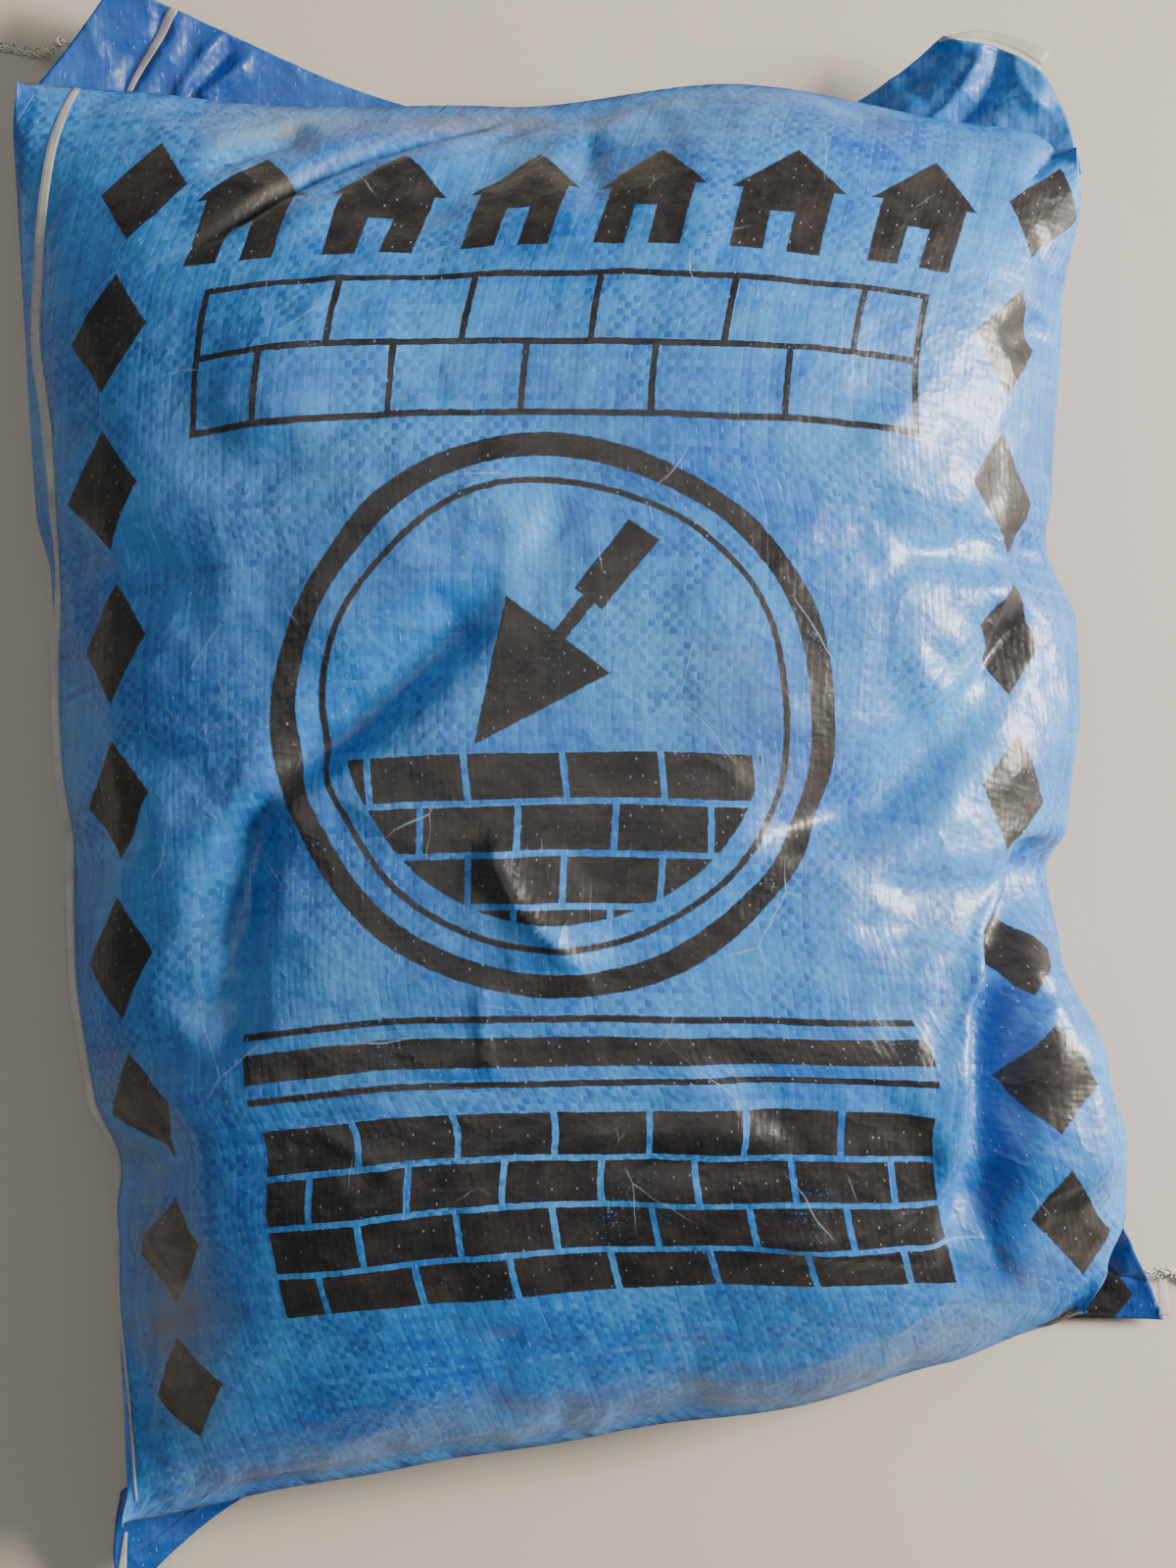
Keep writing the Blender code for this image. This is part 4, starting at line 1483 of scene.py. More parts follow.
    def _cloth_maps(self, upper: Array, under: Array, rows: Array) -> list[Array]:
        """Lay the flat cloth's millimetres on both skins.

        Args:
            upper: Points of the upper skin before its folds.
            under: Points of the under skin.
            rows: Part down of each mesh row.

        Returns:
            U and V of each point of the upper skin, then of the under skin.
        """
        maps = []
        left_u = (self.left_u_mm[0] + (self.left_u_mm[1] - self.left_u_mm[0]) * rows) * MM
        for grid in (upper, under):
            widths = np.linalg.norm(np.diff(grid, axis=0), axis=2)
            u = left_u + np.concatenate([np.zeros((1, grid.shape[1])), np.cumsum(widths, axis=0)])
            lengths = np.linalg.norm(np.diff(grid, axis=1), axis=2)
            v = -np.concatenate([np.zeros((grid.shape[0], 1)), np.cumsum(lengths, axis=1)], axis=1)
            v += grid[:, :1, 1] - grid[0, 0, 1]
            maps.append(np.stack([u, v], axis=2) / MM)
        maps[1][..., 0] = maps[0][-1:, :, 0] + maps[1][-1:, :, 0] - maps[1][..., 0]
        return maps

    def _skin(self, upper: Array, under: Array, maps: list[Array]) -> Mesh:
        """Join the upper and the under skin at their shared rim.

        Args:
            upper: Points of the upper skin.
            under: Points of the under skin, the same at the rim.
            maps: U and V of both.

        Returns:
            The closed mesh.
        """
        wide, long = upper.shape[:2]
        shape = bmesh.new()
        bmesh.ops.create_grid(shape, x_segments=wide - 1, y_segments=long - 1, size=1.0)
        bmesh.ops.extrude_face_region(shape, geom=shape.faces[:])
        mesh = bpy.data.meshes.new("sack_cloth")
        shape.to_mesh(mesh)
        shape.free()
        places = vertex_places(mesh)
        column = np.rint((places[:, 0] + 1) / 2 * (wide - 1)).astype(int)
        row = np.rint((1 - places[:, 1]) / 2 * (long - 1)).astype(int)
        is_upper = np.arange(len(places)) < wide * long
        place_vertices(mesh, np.where(is_upper[:, None], upper[column, row], under[column, row]))
        self._wear_and_shade(mesh, np.where(is_upper, maps[0][column, row, 0], maps[1][column, row, 0]))
        loop_vertex = np.empty(len(mesh.loops), dtype=int)
        mesh.loops.foreach_get("vertex_index", loop_vertex)
        counts = np.empty(len(mesh.polygons), dtype=int)
        mesh.polygons.foreach_get("loop_total", counts)
        starts = np.concatenate([[0], np.cumsum(counts)[:-1]])
        on_top = np.repeat(np.logical_and.reduceat(is_upper[loop_vertex], starts), counts)[:, None]
        c, r = column[loop_vertex], row[loop_vertex]
        layer = mesh.uv_layers.new(name="cloth_mm")
        flat = np.where(on_top, maps[0][c, r], maps[1][c, r])
        layer.data.foreach_set("uv", flat.astype(np.float32).ravel())
        self._soil(mesh)
        shape = bmesh.new()
        shape.from_mesh(mesh)
        bmesh.ops.remove_doubles(shape, verts=shape.verts, dist=self.weld_reach)
        bmesh.ops.recalc_face_normals(shape, faces=shape.faces)
        shape.to_mesh(mesh)
        shape.free()
        mesh.shade_smooth()
        return mesh

    def _wear_and_shade(self, mesh: Mesh, across_mm: Array) -> None:
        """Write how pale each vertex is, wear and painted shade together: the front panel paler than the back
        one, whose deeper blue is partly painted shade, and the fold hollows painted deeper blue as shade.

        Args:
            mesh: The skin.
            across_mm: U of each vertex.
        """
        front = np.minimum(across_mm, self.panel_width_mm - across_mm)
        places = vertex_places(mesh)
        # Painted shade: the fold hollows get deeper blue.
        painted_shade = np.clip(sum(smear.amount(places) for smear in PAINTED_HOLLOW_SHADE), 0.0, 1.0)
        faded_and_shaded = self.back_wear_and_shade + (1 - self.back_wear_and_shade) * np.clip(front / self.panel_edge_mm, 0.0, 1.0)
        write_attribute(mesh, "wear_and_shade", faded_and_shaded * (1 - painted_shade))

    def _soil(self, mesh: Mesh) -> None:
        """Write how much dust lies at each vertex."""
        places = vertex_places(mesh)
        write_attribute(mesh, "dirt", sum(smear.amount(places) for smear in DUST))


@dataclass(frozen=True)
class ClothSettling:
    """Cloth simulation that lets the filled skin pull and wrinkle by itself.

    A coarse copy of the skin is pushed out from inside. How its points move is
    then given to the fine skin, less the even swelling round each point, so that
    the wrinkles come over and the filled form stays. The rim, the corners and
    what lies on the floor stay where they are.
    """

    voxel: float = 0.005
    slack: float = 0.02
    pressure: float = 4.0
    frames: int = 20
    quality: int = 5
    mass: float = 0.15
    stretch_stiffness: float = 40.0
    shear_stiffness: float = 10.0
    bending_stiffness: float = 0.6
    cap: float = 0.0035
    even_rounds: int = 110
    free_slope: float = 0.8
    corner_reach: float = 0.045
    corner_held: float = 0.3
    floor_contact: float = 0.0005
    neighbours: int = 4
    nearest: float = 0.001

    def settle(self, mesh: Mesh, corners: tuple[Array, ...]) -> None:
        """Move the skin as the simulation says, by no more than the cap.

        Args:
            mesh: The fine skin, standing on the floor.
            corners: Its corners seen from above, which stay as they are.
        """
        coarse = bpy.data.objects.new("settling_cloth", mesh.copy())
        bpy.context.scene.collection.objects.link(coarse)
        apply_modifier(coarse, "REMESH", mode="VOXEL", voxel_size=self.voxel)
        start = vertex_places(coarse.data)
        moves = self._simulated(coarse) - start
        moves -= self._evened(coarse.data, moves)
        bpy.data.objects.remove(coarse)
        lengths = np.linalg.norm(moves, axis=1, keepdims=True)
        moves *= self.cap * np.tanh(lengths / self.cap) / np.maximum(lengths, 1e-9)
        tree = kdtree.KDTree(len(start))
        for index, place in enumerate(start):
            tree.insert(place, index)
        tree.balance()
        places, normals = vertex_places(mesh), vertex_normals(mesh)
        shared = np.array([self._shared(tree, moves, place) for place in places])
        away = np.min([np.linalg.norm(places[:, :2] - corner, axis=1) for corner in corners], axis=0)
        free = np.clip(np.abs(normals[:, 2:3]) / self.free_slope, 0.0, 1.0) ** 2
        free *= np.clip(away[:, None] / self.corner_reach - self.corner_held, 0.0, 1.0)
        moved = places + free * shared
        moved[:, 2] = np.maximum(moved[:, 2], 0.0)
        place_vertices(mesh, np.where(places[:, 2:3] < self.floor_contact, places, moved))

    def _simulated(self, piece: Object) -> Array:
        """Run the simulation on a piece.

        Args:
            piece: The coarse copy of the skin.

        Returns:
            Where its points end up, one a row.
        """
        cloth = piece.modifiers.new("cloth", "CLOTH")
        cloth.settings.quality = self.quality
        cloth.settings.mass = self.mass
        cloth.settings.tension_stiffness = self.stretch_stiffness
        cloth.settings.compression_stiffness = self.stretch_stiffness
        cloth.settings.shear_stiffness = self.shear_stiffness
        cloth.settings.bending_stiffness = self.bending_stiffness
        cloth.settings.shrink_min = -self.slack
        cloth.settings.use_pressure = True
        cloth.settings.uniform_pressure_force = self.pressure
        cloth.settings.effector_weights.gravity = 0.0
        for frame_number in range(1, self.frames + 1):
            bpy.context.scene.frame_set(frame_number)
        select_only(piece)
        bpy.ops.object.modifier_apply(modifier=cloth.name)
        bpy.context.scene.frame_set(1)
        return vertex_places(piece.data)

    def _evened(self, mesh: Mesh, moves: Array) -> Array:
        """The moves averaged over the points round each one, again and again.

        Args:
            mesh: The coarse skin.
            moves: How each of its points moves.

        Returns:
            The even moves.
        """
        ends = np.empty(len(mesh.edges) * 2, dtype=int)
        mesh.edges.foreach_get("vertices", ends)
        pairs = ends.reshape(-1, 2)
        here, there = np.concatenate([pairs, pairs[:, ::-1]]).T
        count = np.bincount(here, minlength=len(moves))
        even = moves
        for _ in range(self.even_rounds):
            around = [np.bincount(here, even[there, axis], len(moves)) / count for axis in range(3)]
            even = (even + np.column_stack(around)) / 2
        return even

    def _shared(self, tree: kdtree.KDTree, moves: Array, place: Array) -> Array:
        """How the nearest coarse points move, the nearer ones counting more.

        Args:
            tree: The coarse points.
            moves: Their moves.
            place: The fine point.

        Returns:
            Its move.
        """
        near = tree.find_n(place, self.neighbours)
        weights = np.array([1 / (distance + self.nearest) for _, _, distance in near])
        return weights @ moves[[index for _, index, _ in near]] / weights.sum()


@dataclass(frozen=True)
class TuckedEnd:
    """One unfilled end of the sack: a flat band tucked under, with its corners sticking out.

    Each row holds points from the left fold of the sack to its right one: part
    of the way along the body's edge, distance out from that edge, and height.
    """

    name: str
    start: Point
    end: Point
    side: int
    hem: Row
    middle: Row
    inner: Row
    folds: tuple[FoldLine, ...]
    cloth_zero_mm: Point
    wear_and_shade: Point
    cloth_ply: float = 0.003
    stitch_radius: float = 0.0006
    stitch_height: float = 0.00075
    stitch_gap: float = 0.0003
    stitch_points: int = 48
    sheet_thickness: float = 0.0008
    sheet_levels: int = 5
    wear_and_shade_span: Point = (-0.1, 0.1)
    wear_and_shade_unevenness: float = 0.2
    wear_and_shade_patch: float = 0.020
    crumples: tuple[Bumps, ...] = (Bumps(0.0009, 0.022, 2.2, creased=True),
                                   Bumps(0.0004, 0.009, 7.7, creased=True))
    floor_contact: float = 0.001
    free_height: float = 0.006
    lowest: float = 0.0006

    def rows(self) -> list[list[Vector]]:
        """Points of the hem, the middle and the inner row.

        Returns:
            The three rows.
        """
        start, end = Vector(self.start), Vector(self.end)
        along = end - start
        outwards = Vector((-along.y, along.x)).normalized() * self.side
        return [[Vector((*(start + along * part + outwards * out), height)) for part, out, height in row]
                for row in (self.hem, self.middle, self.inner)]

    def seam(self) -> list[Vector]:
        """Line of the stitching, on the face of the hem that lies on the floor.

        Returns:
            Its points.
        """
        across = [(hem + 6 * middle + inner) / 8 for hem, middle, inner in zip(*self.rows())]
        inside = [(before + 6 * point + after) / 8
                  for before, point, after in zip(across, across[1:], across[2:])]
        path = evenly_spaced(smooth_curve([across[0], *inside, across[-1]], steps=12), self.stitch_points)
        below = self.cloth_ply / 2 + self.stitch_gap + self.stitch_radius
        return [Vector((point.x, point.y, max(self.stitch_height, point.z - below))) for point in path]

    def build(self, material: Material) -> Object:
        """Make the end.

        Args:
            material: The cloth's finish.

        Returns:
            The end as an object of its own.
        """
        mesh = grid_mesh(self.name, list(zip(*self.rows())))
        piece = link_mesh(self.name, mesh, material)
        apply_modifier(piece, "SUBSURF", levels=self.sheet_levels, render_levels=self.sheet_levels,
                       boundary_smooth="PRESERVE_CORNERS")
        self._crease(mesh)
        self._map_cloth(mesh)
        places = vertex_places(mesh)
        # Paleness across the end, partly painted light and shade: deeper blue on a shaded corner, paler blue
        # on a lit one.
        wear_and_shade = np.interp(places[:, 0], self.wear_and_shade_span, self.wear_and_shade)
        wear_and_shade += self.wear_and_shade_unevenness * smooth_noise(places, self.wear_and_shade_patch, 4.4)
        write_attribute(mesh, "wear_and_shade", wear_and_shade)
        apply_modifier(piece, "SOLIDIFY", thickness=self.sheet_thickness, offset=0.0)
        mesh.shade_smooth()
        return piece

    def _crease(self, mesh: Mesh) -> None:
        """Press the folds and crumples into the band.

        Args:
            mesh: The band.
        """
        places = vertex_places(mesh)
        normals = vertex_normals(mesh)
        normals *= np.sign(normals[:, 2:3] + 1e-9)
        lift = sum(shape.height(places) for shape in (*self.folds, *self.crumples))
        free = np.clip((places[:, 2:3] - self.floor_contact) / self.free_height, 0.0, 1.0)
        moved = places + normals * lift[:, None] * free
        moved[:, 2] = np.maximum(moved[:, 2], self.lowest)
        place_vertices(mesh, moved)

    def _map_cloth(self, mesh: Mesh) -> None:
        """Lay the flat cloth's millimetres on the band, seen from above.

        Args:
            mesh: The band.
        """
        places = vertex_places(mesh)[:, :2] / MM
        corner = np.array(self.start) / MM
        flat = places - corner + np.array(self.cloth_zero_mm)
        loop_vertex = np.empty(len(mesh.loops), dtype=int)
        mesh.loops.foreach_get("vertex_index", loop_vertex)
        layer = mesh.uv_layers.new(name="cloth_mm")
        layer.data.foreach_set("uv", flat[loop_vertex].astype(np.float32).ravel())


@dataclass(frozen=True)
class FilmStrip:
    """Strip of bare laminating film along a fold or a hem.

    The root is the line where it leaves the cloth, in millimetres seen from
    above. The widths are (part of the way along, width in millimetres).
    """

    name: str
    root: Knots
    widths: Knots
    side: int
    droop: float = 0.0006
    lift: float = 0.0004
    thickness: float = 0.00015
    spacing: float = 0.002
    points_across: int = 4
    wave: float = 0.0007
    wave_length: float = 0.02

    def build(self, cloth: Object, material: Material) -> Object:
        """Make the strip.

        Args:
            cloth: The piece that it lies on.
            material: The film's finish.

        Returns:
            The strip's object.
        """
        line = [point * MM for point in smooth_curve(self.root, steps=8)]
        count = max(6, round(path_length(line) / self.spacing))
        line = evenly_spaced(line, count)
        width = np.interp(np.linspace(0, 1, count), *zip(*self.widths)) * MM
        roots = np.array([self._height(cloth, point) for point in line])
        carried = np.flatnonzero(np.isfinite(roots))
        roots = np.interp(np.arange(count), carried, roots[carried]) + self.lift
        grid = np.zeros((count, self.points_across, 3))
        for index, point in enumerate(line):
            way = (line[min(index + 1, count - 1)] - line[max(index - 1, 0)]).normalized()
            outwards = Vector((-way.y, way.x, 0.0)) * self.side
            for step in range(self.points_across):
                share = step / (self.points_across - 1)
                place = point + outwards * width[index] * share
                wave = self.wave * share * noise.noise(place / self.wave_length + Vector((4.0, 1.0, 2.0)))
                resting = self._height(cloth, place) + self.lift
                grid[index, step] = (place.x, place.y, max(roots[index] - self.droop * share + wave, resting))
        mesh = grid_mesh(self.name, grid)
        mesh.shade_smooth()
        piece = link_mesh(self.name, mesh, material)
        apply_modifier(piece, "SOLIDIFY", thickness=self.thickness, offset=0.0)
        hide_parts("sack")
        return piece

    def _height(self, cloth: Object, place: Vector) -> float:
        """Height of the cloth's upper face at a place, or minus infinity beside it."""
        hit, where, _, _ = cloth.ray_cast(Vector((place.x, place.y, 0.5)), Vector((0.0, 0.0, -1.0)))
        return where.z if hit else -math.inf


@dataclass(frozen=True)
class Strand:
    """Round thread of one thickness."""

    radius: float
    sides: int

    def mesh(self, name: str, paths: list[list[Vector]]) -> Mesh:
        """Strands along some paths, with closed ends.

        Args:
            name: The mesh's name.
            paths: The centre line of each strand.

        Returns:
            The mesh, with a UV map in millimetres along and turns round.
        """
        places, faces, coordinates = [], [], []
        for path in paths:
            first = len(places)
            places.extend(self._rings(path))
            run = [0.0]
            for before, point in zip(path, path[1:]):
                run.append(run[-1] + (point - before).length / MM)
            for index in range(len(path) - 1):
                for side in range(self.sides):
                    low, high = first + index * self.sides, first + (index + 1) * self.sides
                    following = (side + 1) % self.sides
                    faces.append((low + side, low + following, high + following, high + side))
                    turn, after = side / self.sides, (side + 1) / self.sides
                    coordinates.extend([(run[index], turn), (run[index], after),
                                        (run[index + 1], after), (run[index + 1], turn)])
            last = first + (len(path) - 1) * self.sides
            faces.append(tuple(first + side for side in reversed(range(self.sides))))
            faces.append(tuple(last + side for side in range(self.sides)))
            coordinates.extend([(0.0, 0.0)] * self.sides + [(run[-1], 0.0)] * self.sides)
        mesh = bpy.data.meshes.new(name)
        mesh.from_pydata(places, [], faces)
        layer = mesh.uv_layers.new(name="thread_mm")
        layer.data.foreach_set("uv", np.array(coordinates, dtype=np.float32).ravel())
        mesh.shade_smooth()
        return mesh

    def _rings(self, path: list[Vector]) -> list[Vector]:
        """Points of a ring round each point of a path, turning with it.

        Args:
            path: The centre line.

        Returns:
            The points of every ring.
        """
        places = []
        across = Vector((0.0, 0.0, 1.0))
        for index, point in enumerate(path):
            way = (path[min(index + 1, len(path) - 1)] - path[max(index - 1, 0)]).normalized()
            across = (across - way * across.dot(way)).normalized()
            other = way.cross(across)
            for side in range(self.sides):
                angle = 2 * math.pi * side / self.sides
                places.append(point + (across * math.cos(angle) + other * math.sin(angle)) * self.radius)
        return places


@dataclass(frozen=True)
class ChainStitch:
    """Looped stitches: how long each is, and how far its loops reach sideways and up."""

    pitch: float
    swing: float
    rise: float
    points: int = 14
    overlap: float = 0.42
    lag: float = 0.8
    lowest: float = 0.0004

    def path(self, line: list[Vector]) -> list[Vector]:
        """Path of the looped thread along a line.

        Args:
            line: The line that the stitches follow.

        Returns:
            The path.
        """
        stitches = max(1, round(path_length(line) / self.pitch))
        even = evenly_spaced(line, stitches * self.points + 1)
        path = []
        for index, point in enumerate(even):
            way = (even[min(index + 1, len(even) - 1)] - even[max(index - 1, 0)]).normalized()
            across = Vector((-way.y, way.x, 0.0)).normalized()
            phase = 2 * math.pi * index / self.points
            back = self.overlap * self.pitch * math.sin(phase)
            loop = way * back + across * (self.swing * math.cos(phase))
            height = max(self.lowest, point.z + self.rise * math.sin(phase + self.lag))
            path.append(Vector(((point + loop).x, (point + loop).y, height)))
        return path


@dataclass(frozen=True)
class SewnEnd:
    """The sewing of one end: a chain of stitches along the hem and its loose tail."""

    name: str
    seam_end: int
    route: Row
    thread: Strand = Strand(0.0006, 10)
    looped: Strand = Strand(0.00036, 7)
    fibre: Strand = Strand(0.00016, 5)
    row_stitch: ChainStitch = ChainStitch(0.0068, 0.0011, 0.0003)
    tail_stitches: tuple[ChainStitch, ...] = (ChainStitch(0.0045, 0.0017, 0.0006),
                                              ChainStitch(0.0037, 0.0011, 0.0009))
    tail_unlooped: tuple[int, ...] = (4, 6)
    tail_straight: float = 0.0034
    tail_spacing: float = 0.0008
    fibres: int = 5
    fibre_spread: float = 0.0011
    fibre_reach: float = 0.0040
    fibre_unevenness: float = 0.0012
    fibre_droop: float = 0.0002
    fibre_lowest: float = 0.0003

    def tail_line(self, end: TuckedEnd) -> list[Vector]:
        """Route of the loose tail, from the end of the stitching to its cut end.

        Args:
            end: The end of the sack that it closes.

        Returns:
            Its centre line.
        """
        seam = end.seam()
        tip, before = seam[self.seam_end], seam[1 if self.seam_end == 0 else -2]
        leaving = (tip - before).normalized()
        start = tip + leaving * end.stitch_gap
        points = [start, start + leaving * self.tail_straight]
        points += [Vector((start.x + x, start.y + y, z)) for x, y, z in self.route]
        smooth = smooth_curve(points, steps=12)
        return evenly_spaced(smooth, round(path_length(smooth) / self.tail_spacing))

    def build_tail(self, end: TuckedEnd, material: Material) -> Object:
        """Make the tail as a free cord, with the loops of its chain and its frayed end.

        Args:
            end: The end of the sack that it hangs from.
            material: The thread's finish.

        Returns:
            The cord's object.
        """
        line = self.tail_line(end)
        loops = [stitch.path(line[skipped:])
                 for skipped, stitch in zip(self.tail_unlooped, self.tail_stitches)]
        frays = [self._fray(line[-1], line[-1] - line[-4], number) for number in range(self.fibres)]
        cord, chain, fibres = (
            link_mesh(self.name + part, strand.mesh(self.name + part, paths), material)
            for part, strand, paths in (("_tail", self.thread, [line]), ("_tail_loops", self.looped, loops),
                                        ("_tail_fray", self.fibre, frays)))
        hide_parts(self.name + "_thread_tail")
        LOG.info("%s: %.1f mm long", cord.name, path_length(line) / MM)
        return cord

    def _fray(self, tip: Vector, way: Vector, number: int) -> list[Vector]:
        """One loose fibre at the cut end of the thread.

        Args:
            tip: The thread's end.
            way: Where the thread points.
            number: Which fibre it is.

        Returns:
            Its centre line.
        """
        forward = way.normalized()
        across = Vector((-forward.y, forward.x, 0.0))
        lean = (number - self.fibres // 2) * self.fibre_spread
        reach = self.fibre_reach + self.fibre_unevenness * math.sin(number * 2.3)
        bend = tip + forward * reach * 0.5 + across * lean * 0.4
        points = [tip, bend, tip + forward * reach + across * lean]
        return [Vector((point.x, point.y, max(self.fibre_lowest, point.z - self.fibre_droop * index)))
                for index, point in enumerate(smooth_curve(points, steps=4))]

    def build_row(self, end: TuckedEnd, sack: Object, material: Material) -> Object:
        """Make the row of chain stitches along the hem, on the face that lies on the floor.

        Args:
            end: The end of the sack that it closes.
            sack: The cloth that it is sewn through.
            material: The thread's finish.

        Returns:
            The row's object.
        """
        seam = end.seam()
        paths = [[self._below(sack, point) for point in path] for path in (seam, self.row_stitch.path(seam))]
        mesh = self.looped.mesh(self.name + "_stitches", paths)
        row = link_mesh(self.name + "_stitches", mesh, material)
        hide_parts(self.name + "_stitching")
        return row

    def _below(self, sack: Object, point: Vector) -> Vector:
        """The point, lowered where the creased cloth dips under it.

        Args:
            sack: The cloth.
            point: A point of the thread.

        Returns:
            The lowered point.
        """
        hit, where, _, _ = sack.ray_cast(Vector((point.x, point.y, -0.1)), Vector((0.0, 0.0, 1.0)))
        highest = where.z - self.looped.radius if hit else point.z
        return Vector((point.x, point.y, max(self.looped.radius, min(point.z, highest))))


@dataclass(frozen=True)
class CementBag:
    """The whole bag: filled body, tucked ends, film edges, sewing and loose tails."""

    body: FilledBody = field(default_factory=FilledBody)

    def top_end(self) -> TuckedEnd:
        """The end at the top, whose left and right corners stick out.

        Returns:
            The end.
        """
        top_left, top_right, _, _ = self.body.outline.corners()
        folds = (
            FoldLine(((-124, 268), (-135, 258), (-146, 249)), 3.5, Fold.RIDGE, 2.6),
            FoldLine(((-134, 276), (-145, 262), (-153, 249)), 4.0, Fold.RIDGE, 2.4),
            FoldLine(((-128, 273), (-139, 261), (-150, 249)), 3.0, Fold.CREASE, 2.0),
            FoldLine(((-149, 290), (-156, 271), (-163, 260), (-170, 248)), 3.5, Fold.STEP, 1.6),
            FoldLine(((137, 276), (134, 262), (129, 254), (122, 247), (108, 236)), 7.0, Fold.STEP, -2.6),
            FoldLine(((137, 275), (135, 262), (131, 254), (125, 246), (112, 236)), 3.0, Fold.RIDGE, 3.0),
            FoldLine(((143, 272), (140, 256), (134, 246), (122, 234)), 3.5, Fold.CREASE, 1.6),
            FoldLine(((124, 272), (118, 258), (108, 248)), 9.0, Fold.VALLEY, 3.0),
            FoldLine(((146, 266), (150, 252), (158, 242)), 3.0, Fold.RIDGE, 1.4),
            FoldLine(((152, 262), (160, 254), (166, 240)), 3.0, Fold.CREASE, 1.4),
            FoldLine(((140, 244), (152, 246), (164, 240)), 3.0, Fold.RIDGE, 1.2),
            FoldLine(((160, 268), (158, 254), (150, 240)), 6.0, Fold.SWELL, 1.8),
        )
        return TuckedEnd(
            "top_end_cloth", tuple(top_left), tuple(top_right), 1,
            hem=((0.079, 0.040, 0.022), (0.141, 0.032, 0.014), (0.235, 0.019, 0.008), (0.326, 0.006, 0.003),
                 (0.556, -0.009, 0.0015), (0.725, 0.001, 0.0015), (0.805, 0.014, 0.008),
                 (0.867, 0.034, 0.028)),
            middle=((0.039, 0.017, 0.018), (0.122, -0.002, 0.012), (0.215, -0.013, 0.006),
                    (0.330, -0.024, 0.0015), (0.559, -0.038, 0.0015), (0.747, -0.024, 0.004),
                    (0.866, 0.003, 0.036), (0.969, 0.029, 0.030)),
            inner=((-0.001, -0.006, 0.026), (0.097, -0.031, 0.012), (0.200, -0.045, 0.004),
                   (0.333, -0.053, 0.0015), (0.563, -0.066, 0.0015), (0.788, -0.048, 0.004),
                   (0.947, -0.020, 0.024), (1.002, -0.014, 0.036)),
            # The left corner is painted deep blue as shade, the right one paler as light.
            folds=folds, cloth_zero_mm=(-8.0, 0.0), wear_and_shade=(0.1, 0.8),
        )

    def bottom_end(self) -> TuckedEnd:
        """The end at the bottom, whose left and right corners stick out.

        Returns:
            The end.
        """
        _, _, bottom_left, bottom_right = self.body.outline.corners()
        folds = (
            FoldLine(((-172, -274), (-159, -266), (-149, -259), (-138, -251)), 1.6, Fold.RIDGE, 1.8),
            FoldLine(((186, -160), (190, -170), (182, -178)), 4.0, Fold.SWELL, 1.6),
            FoldLine(((180, -158), (186, -170), (200, -174)), 3.0, Fold.CREASE, 1.6),
        )
        return TuckedEnd(
            "bottom_end_cloth", tuple(bottom_left), tuple(bottom_right), -1,
            hem=((-0.034, 0.034, 0.010), (0.006, 0.022, 0.008), (0.072, 0.010, 0.005), (0.156, -0.001, 0.002),
                 (0.488, -0.004, 0.0015), (0.805, -0.006, 0.0015), (0.968, 0.0035, 0.003),
                 (1.093, 0.014, 0.004)),
            middle=((-0.034, 0.015, 0.014), (0.033, 0.003, 0.010), (0.111, -0.008, 0.005),
                    (0.212, -0.018, 0.002), (0.501, -0.025, 0.0015), (0.799, -0.028, 0.0015),
                    (0.964, -0.023, 0.003), (1.084, -0.004, 0.008)),
            inner=((-0.003, -0.010, 0.024), (0.071, -0.023, 0.012), (0.149, -0.034, 0.004),
                   (0.249, -0.044, 0.0015), (0.517, -0.049, 0.0015), (0.794, -0.054, 0.0015),
                   (0.959, -0.049, 0.004), (1.062, -0.0295, 0.024)),
            # Both corners are painted deep blue as shade.
            folds=folds, cloth_zero_mm=(18.0, -548.0), wear_and_shade=(0.05, 0.05),
        )

    def film_strips(self) -> list[FilmStrip]:
        """Every strip of bare film, the left fold's first.

        Returns:
            The strips.
        """
        left_fold = (
            (-182, 250), (-185, 240), (-188, 226), (-190, 205), (-191, 180), (-191, 155), (-187, 131),
            (-185, 111), (-185, 93), (-185, 78), (-185, 62), (-186, 50), (-186, 29), (-184, 6),
            (-181, -13), (-181, -31), (-180, -63), (-177, -83), (-173, -105), (-165, -123),
            (-167, -142), (-166, -152), (-166, -174), (-164, -194), (-162, -220), (-161, -246),
        )
        left_widths = ((0.0, 2.4), (0.04, 3.2), (0.25, 3.8), (0.31, 2.4), (0.345, 1.6), (0.40, 3.8),
                       (0.72, 3.4), (0.74, 2.0), (0.78, 2.6), (0.80, 1.8), (0.90, 1.2), (1.0, 0.8))
        return [
            FilmStrip("left_fold_film", left_fold, left_widths, -1),
            FilmStrip("top_left_film", ((-167, 252), (-163, 260), (-156, 271), (-150, 282)),
                      ((0.0, 1.8), (1.0, 3.4)), 1),
            FilmStrip("top_right_film", ((121, 268), (134, 269), (147, 265), (157, 259)),
                      ((0.0, 1.0), (0.5, 3.6), (1.0, 6.0)), 1),
            FilmStrip("bottom_right_film", ((202, -170), (202.5, -179), (203, -187)),
                      ((0.0, 3.0), (1.0, 4.4)), 1),
            FilmStrip("bottom_left_film", ((-169, -262), (-171, -271), (-173, -284)),
                      ((0.0, 1.0), (0.5, 2.6), (1.0, 4.0)), 1),
        ]

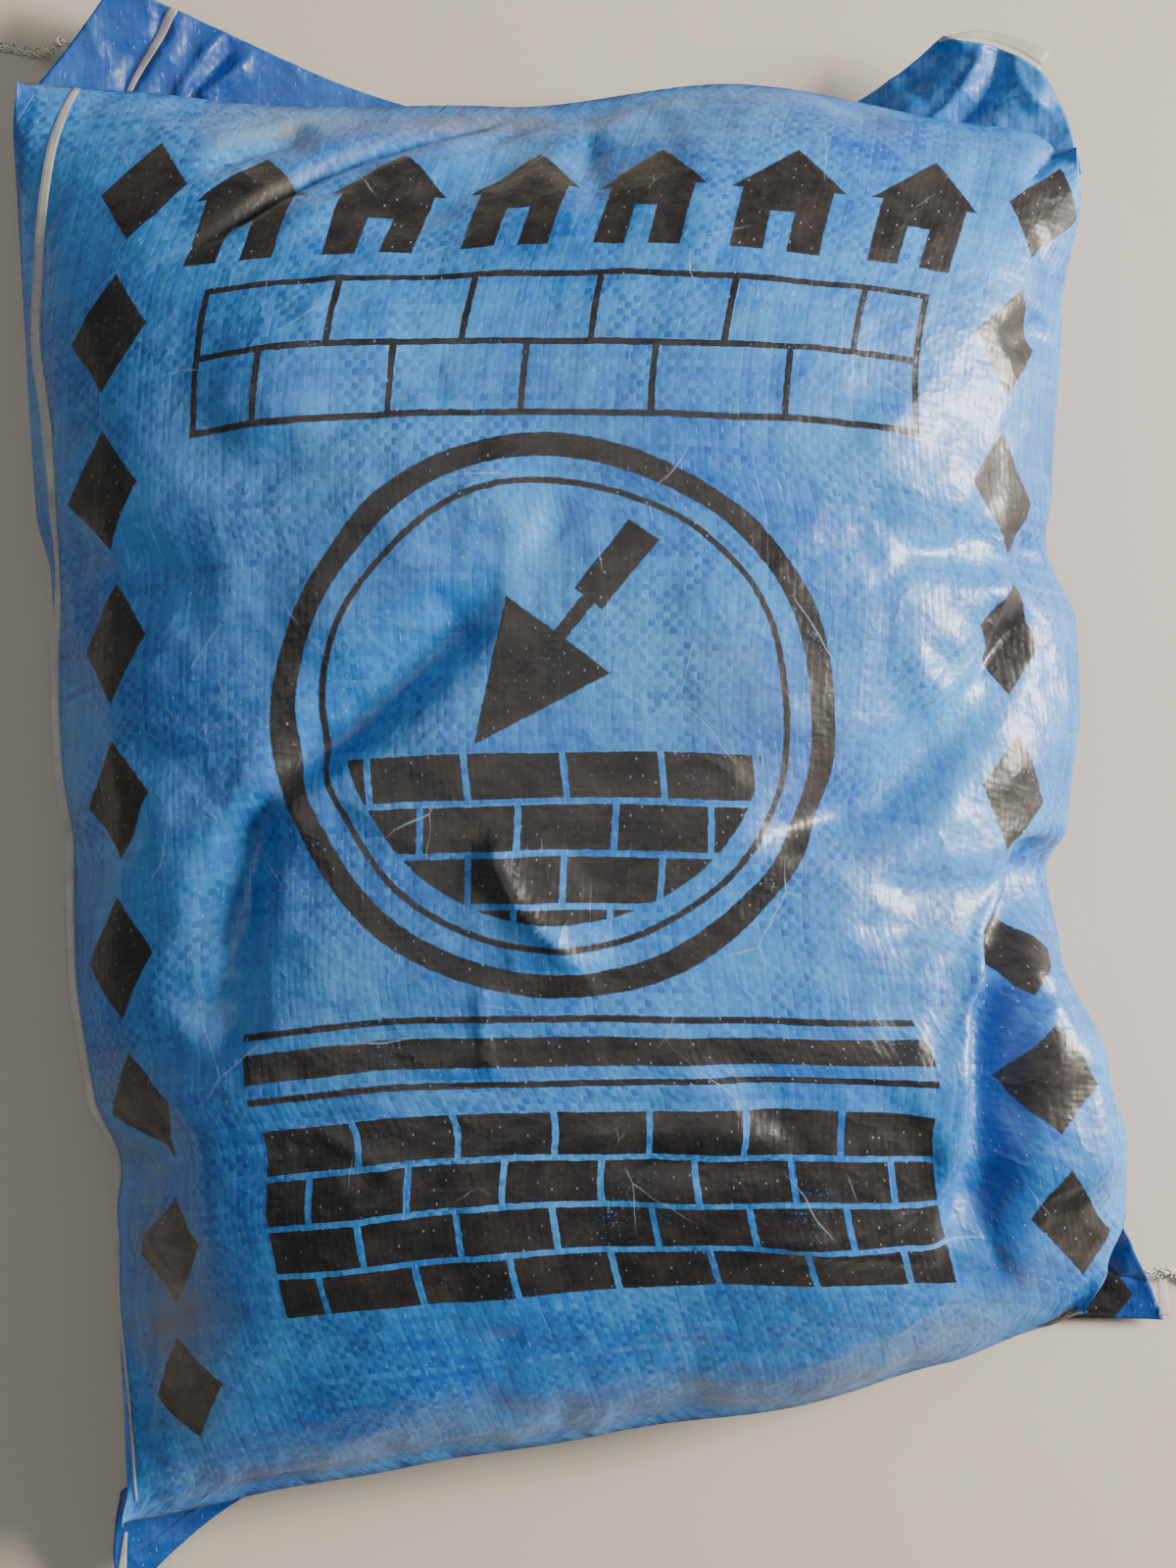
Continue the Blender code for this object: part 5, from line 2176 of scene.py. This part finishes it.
    def build(self) -> None:
        """Make every piece of the bag, its cords first."""
        thread = SewingThread().build()
        cloth = LaminatedWeave().build()
        film = ClearFilm().build()
        ends = (self.top_end(), self.bottom_end())
        sewing = (
            SewnEnd("top", 0, (
                (-0.008, 0.0006, 0.0110), (-0.013, 0.0010, 0.0040), (-0.018, 0.0020, 0.0010),
                (-0.026, 0.0038, 0.0008), (-0.034, 0.0040, 0.0008), (-0.041, 0.0018, 0.0008),
                (-0.048, -0.0016, 0.0008), (-0.056, -0.0030, 0.0008))),
            SewnEnd("bottom", -1, (
                (0.008, -0.0004, 0.0080), (0.012, -0.0020, 0.0024), (0.017, -0.0052, 0.0008),
                (0.023, -0.0104, 0.0008), (0.030, -0.0148, 0.0008), (0.038, -0.0156, 0.0008),
                (0.046, -0.0130, 0.0008), (0.053, -0.0100, 0.0008))),
        )
        for sewn, end in zip(sewing, ends):
            sewn.build_tail(end, thread)
        sack = self._sack(ends, cloth)
        for sewn, end in zip(sewing, ends):
            row = sewn.build_row(end, sack, thread)
            LOG.info("%s: %d faces", row.name, len(row.data.polygons))
        for strip in self.film_strips():
            piece = strip.build(sack, film)
            LOG.info("%s: %d faces", piece.name, len(piece.data.polygons))

    def _sack(self, ends: tuple[TuckedEnd, ...], cloth: Material) -> Object:
        """Make the one piece of cloth: the filled body and its tucked ends.

        Args:
            ends: The two ends.
            cloth: The cloth's finish.

        Returns:
            The sack's object.
        """
        skin = self.body.build()
        ClothSettling().settle(skin, self.body.outline.corners())
        sack = link_mesh("sack_cloth", skin, cloth)
        pieces = [end.build(cloth) for end in ends]
        select_only(sack, *pieces)
        bpy.ops.object.join()
        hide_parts("sack")
        LOG.info("sack_cloth: %d faces", len(sack.data.polygons))
        bpy.context.view_layer.update()
        return sack


def main() -> None:
    """Build the whole bag and the studio round it."""
    logging.basicConfig(level=logging.INFO, format="%(name)s: %(message)s")
    PhotoCamera().build()
    Studio().build()
    CementBag().build()


if __name__ == "__main__":
    main()
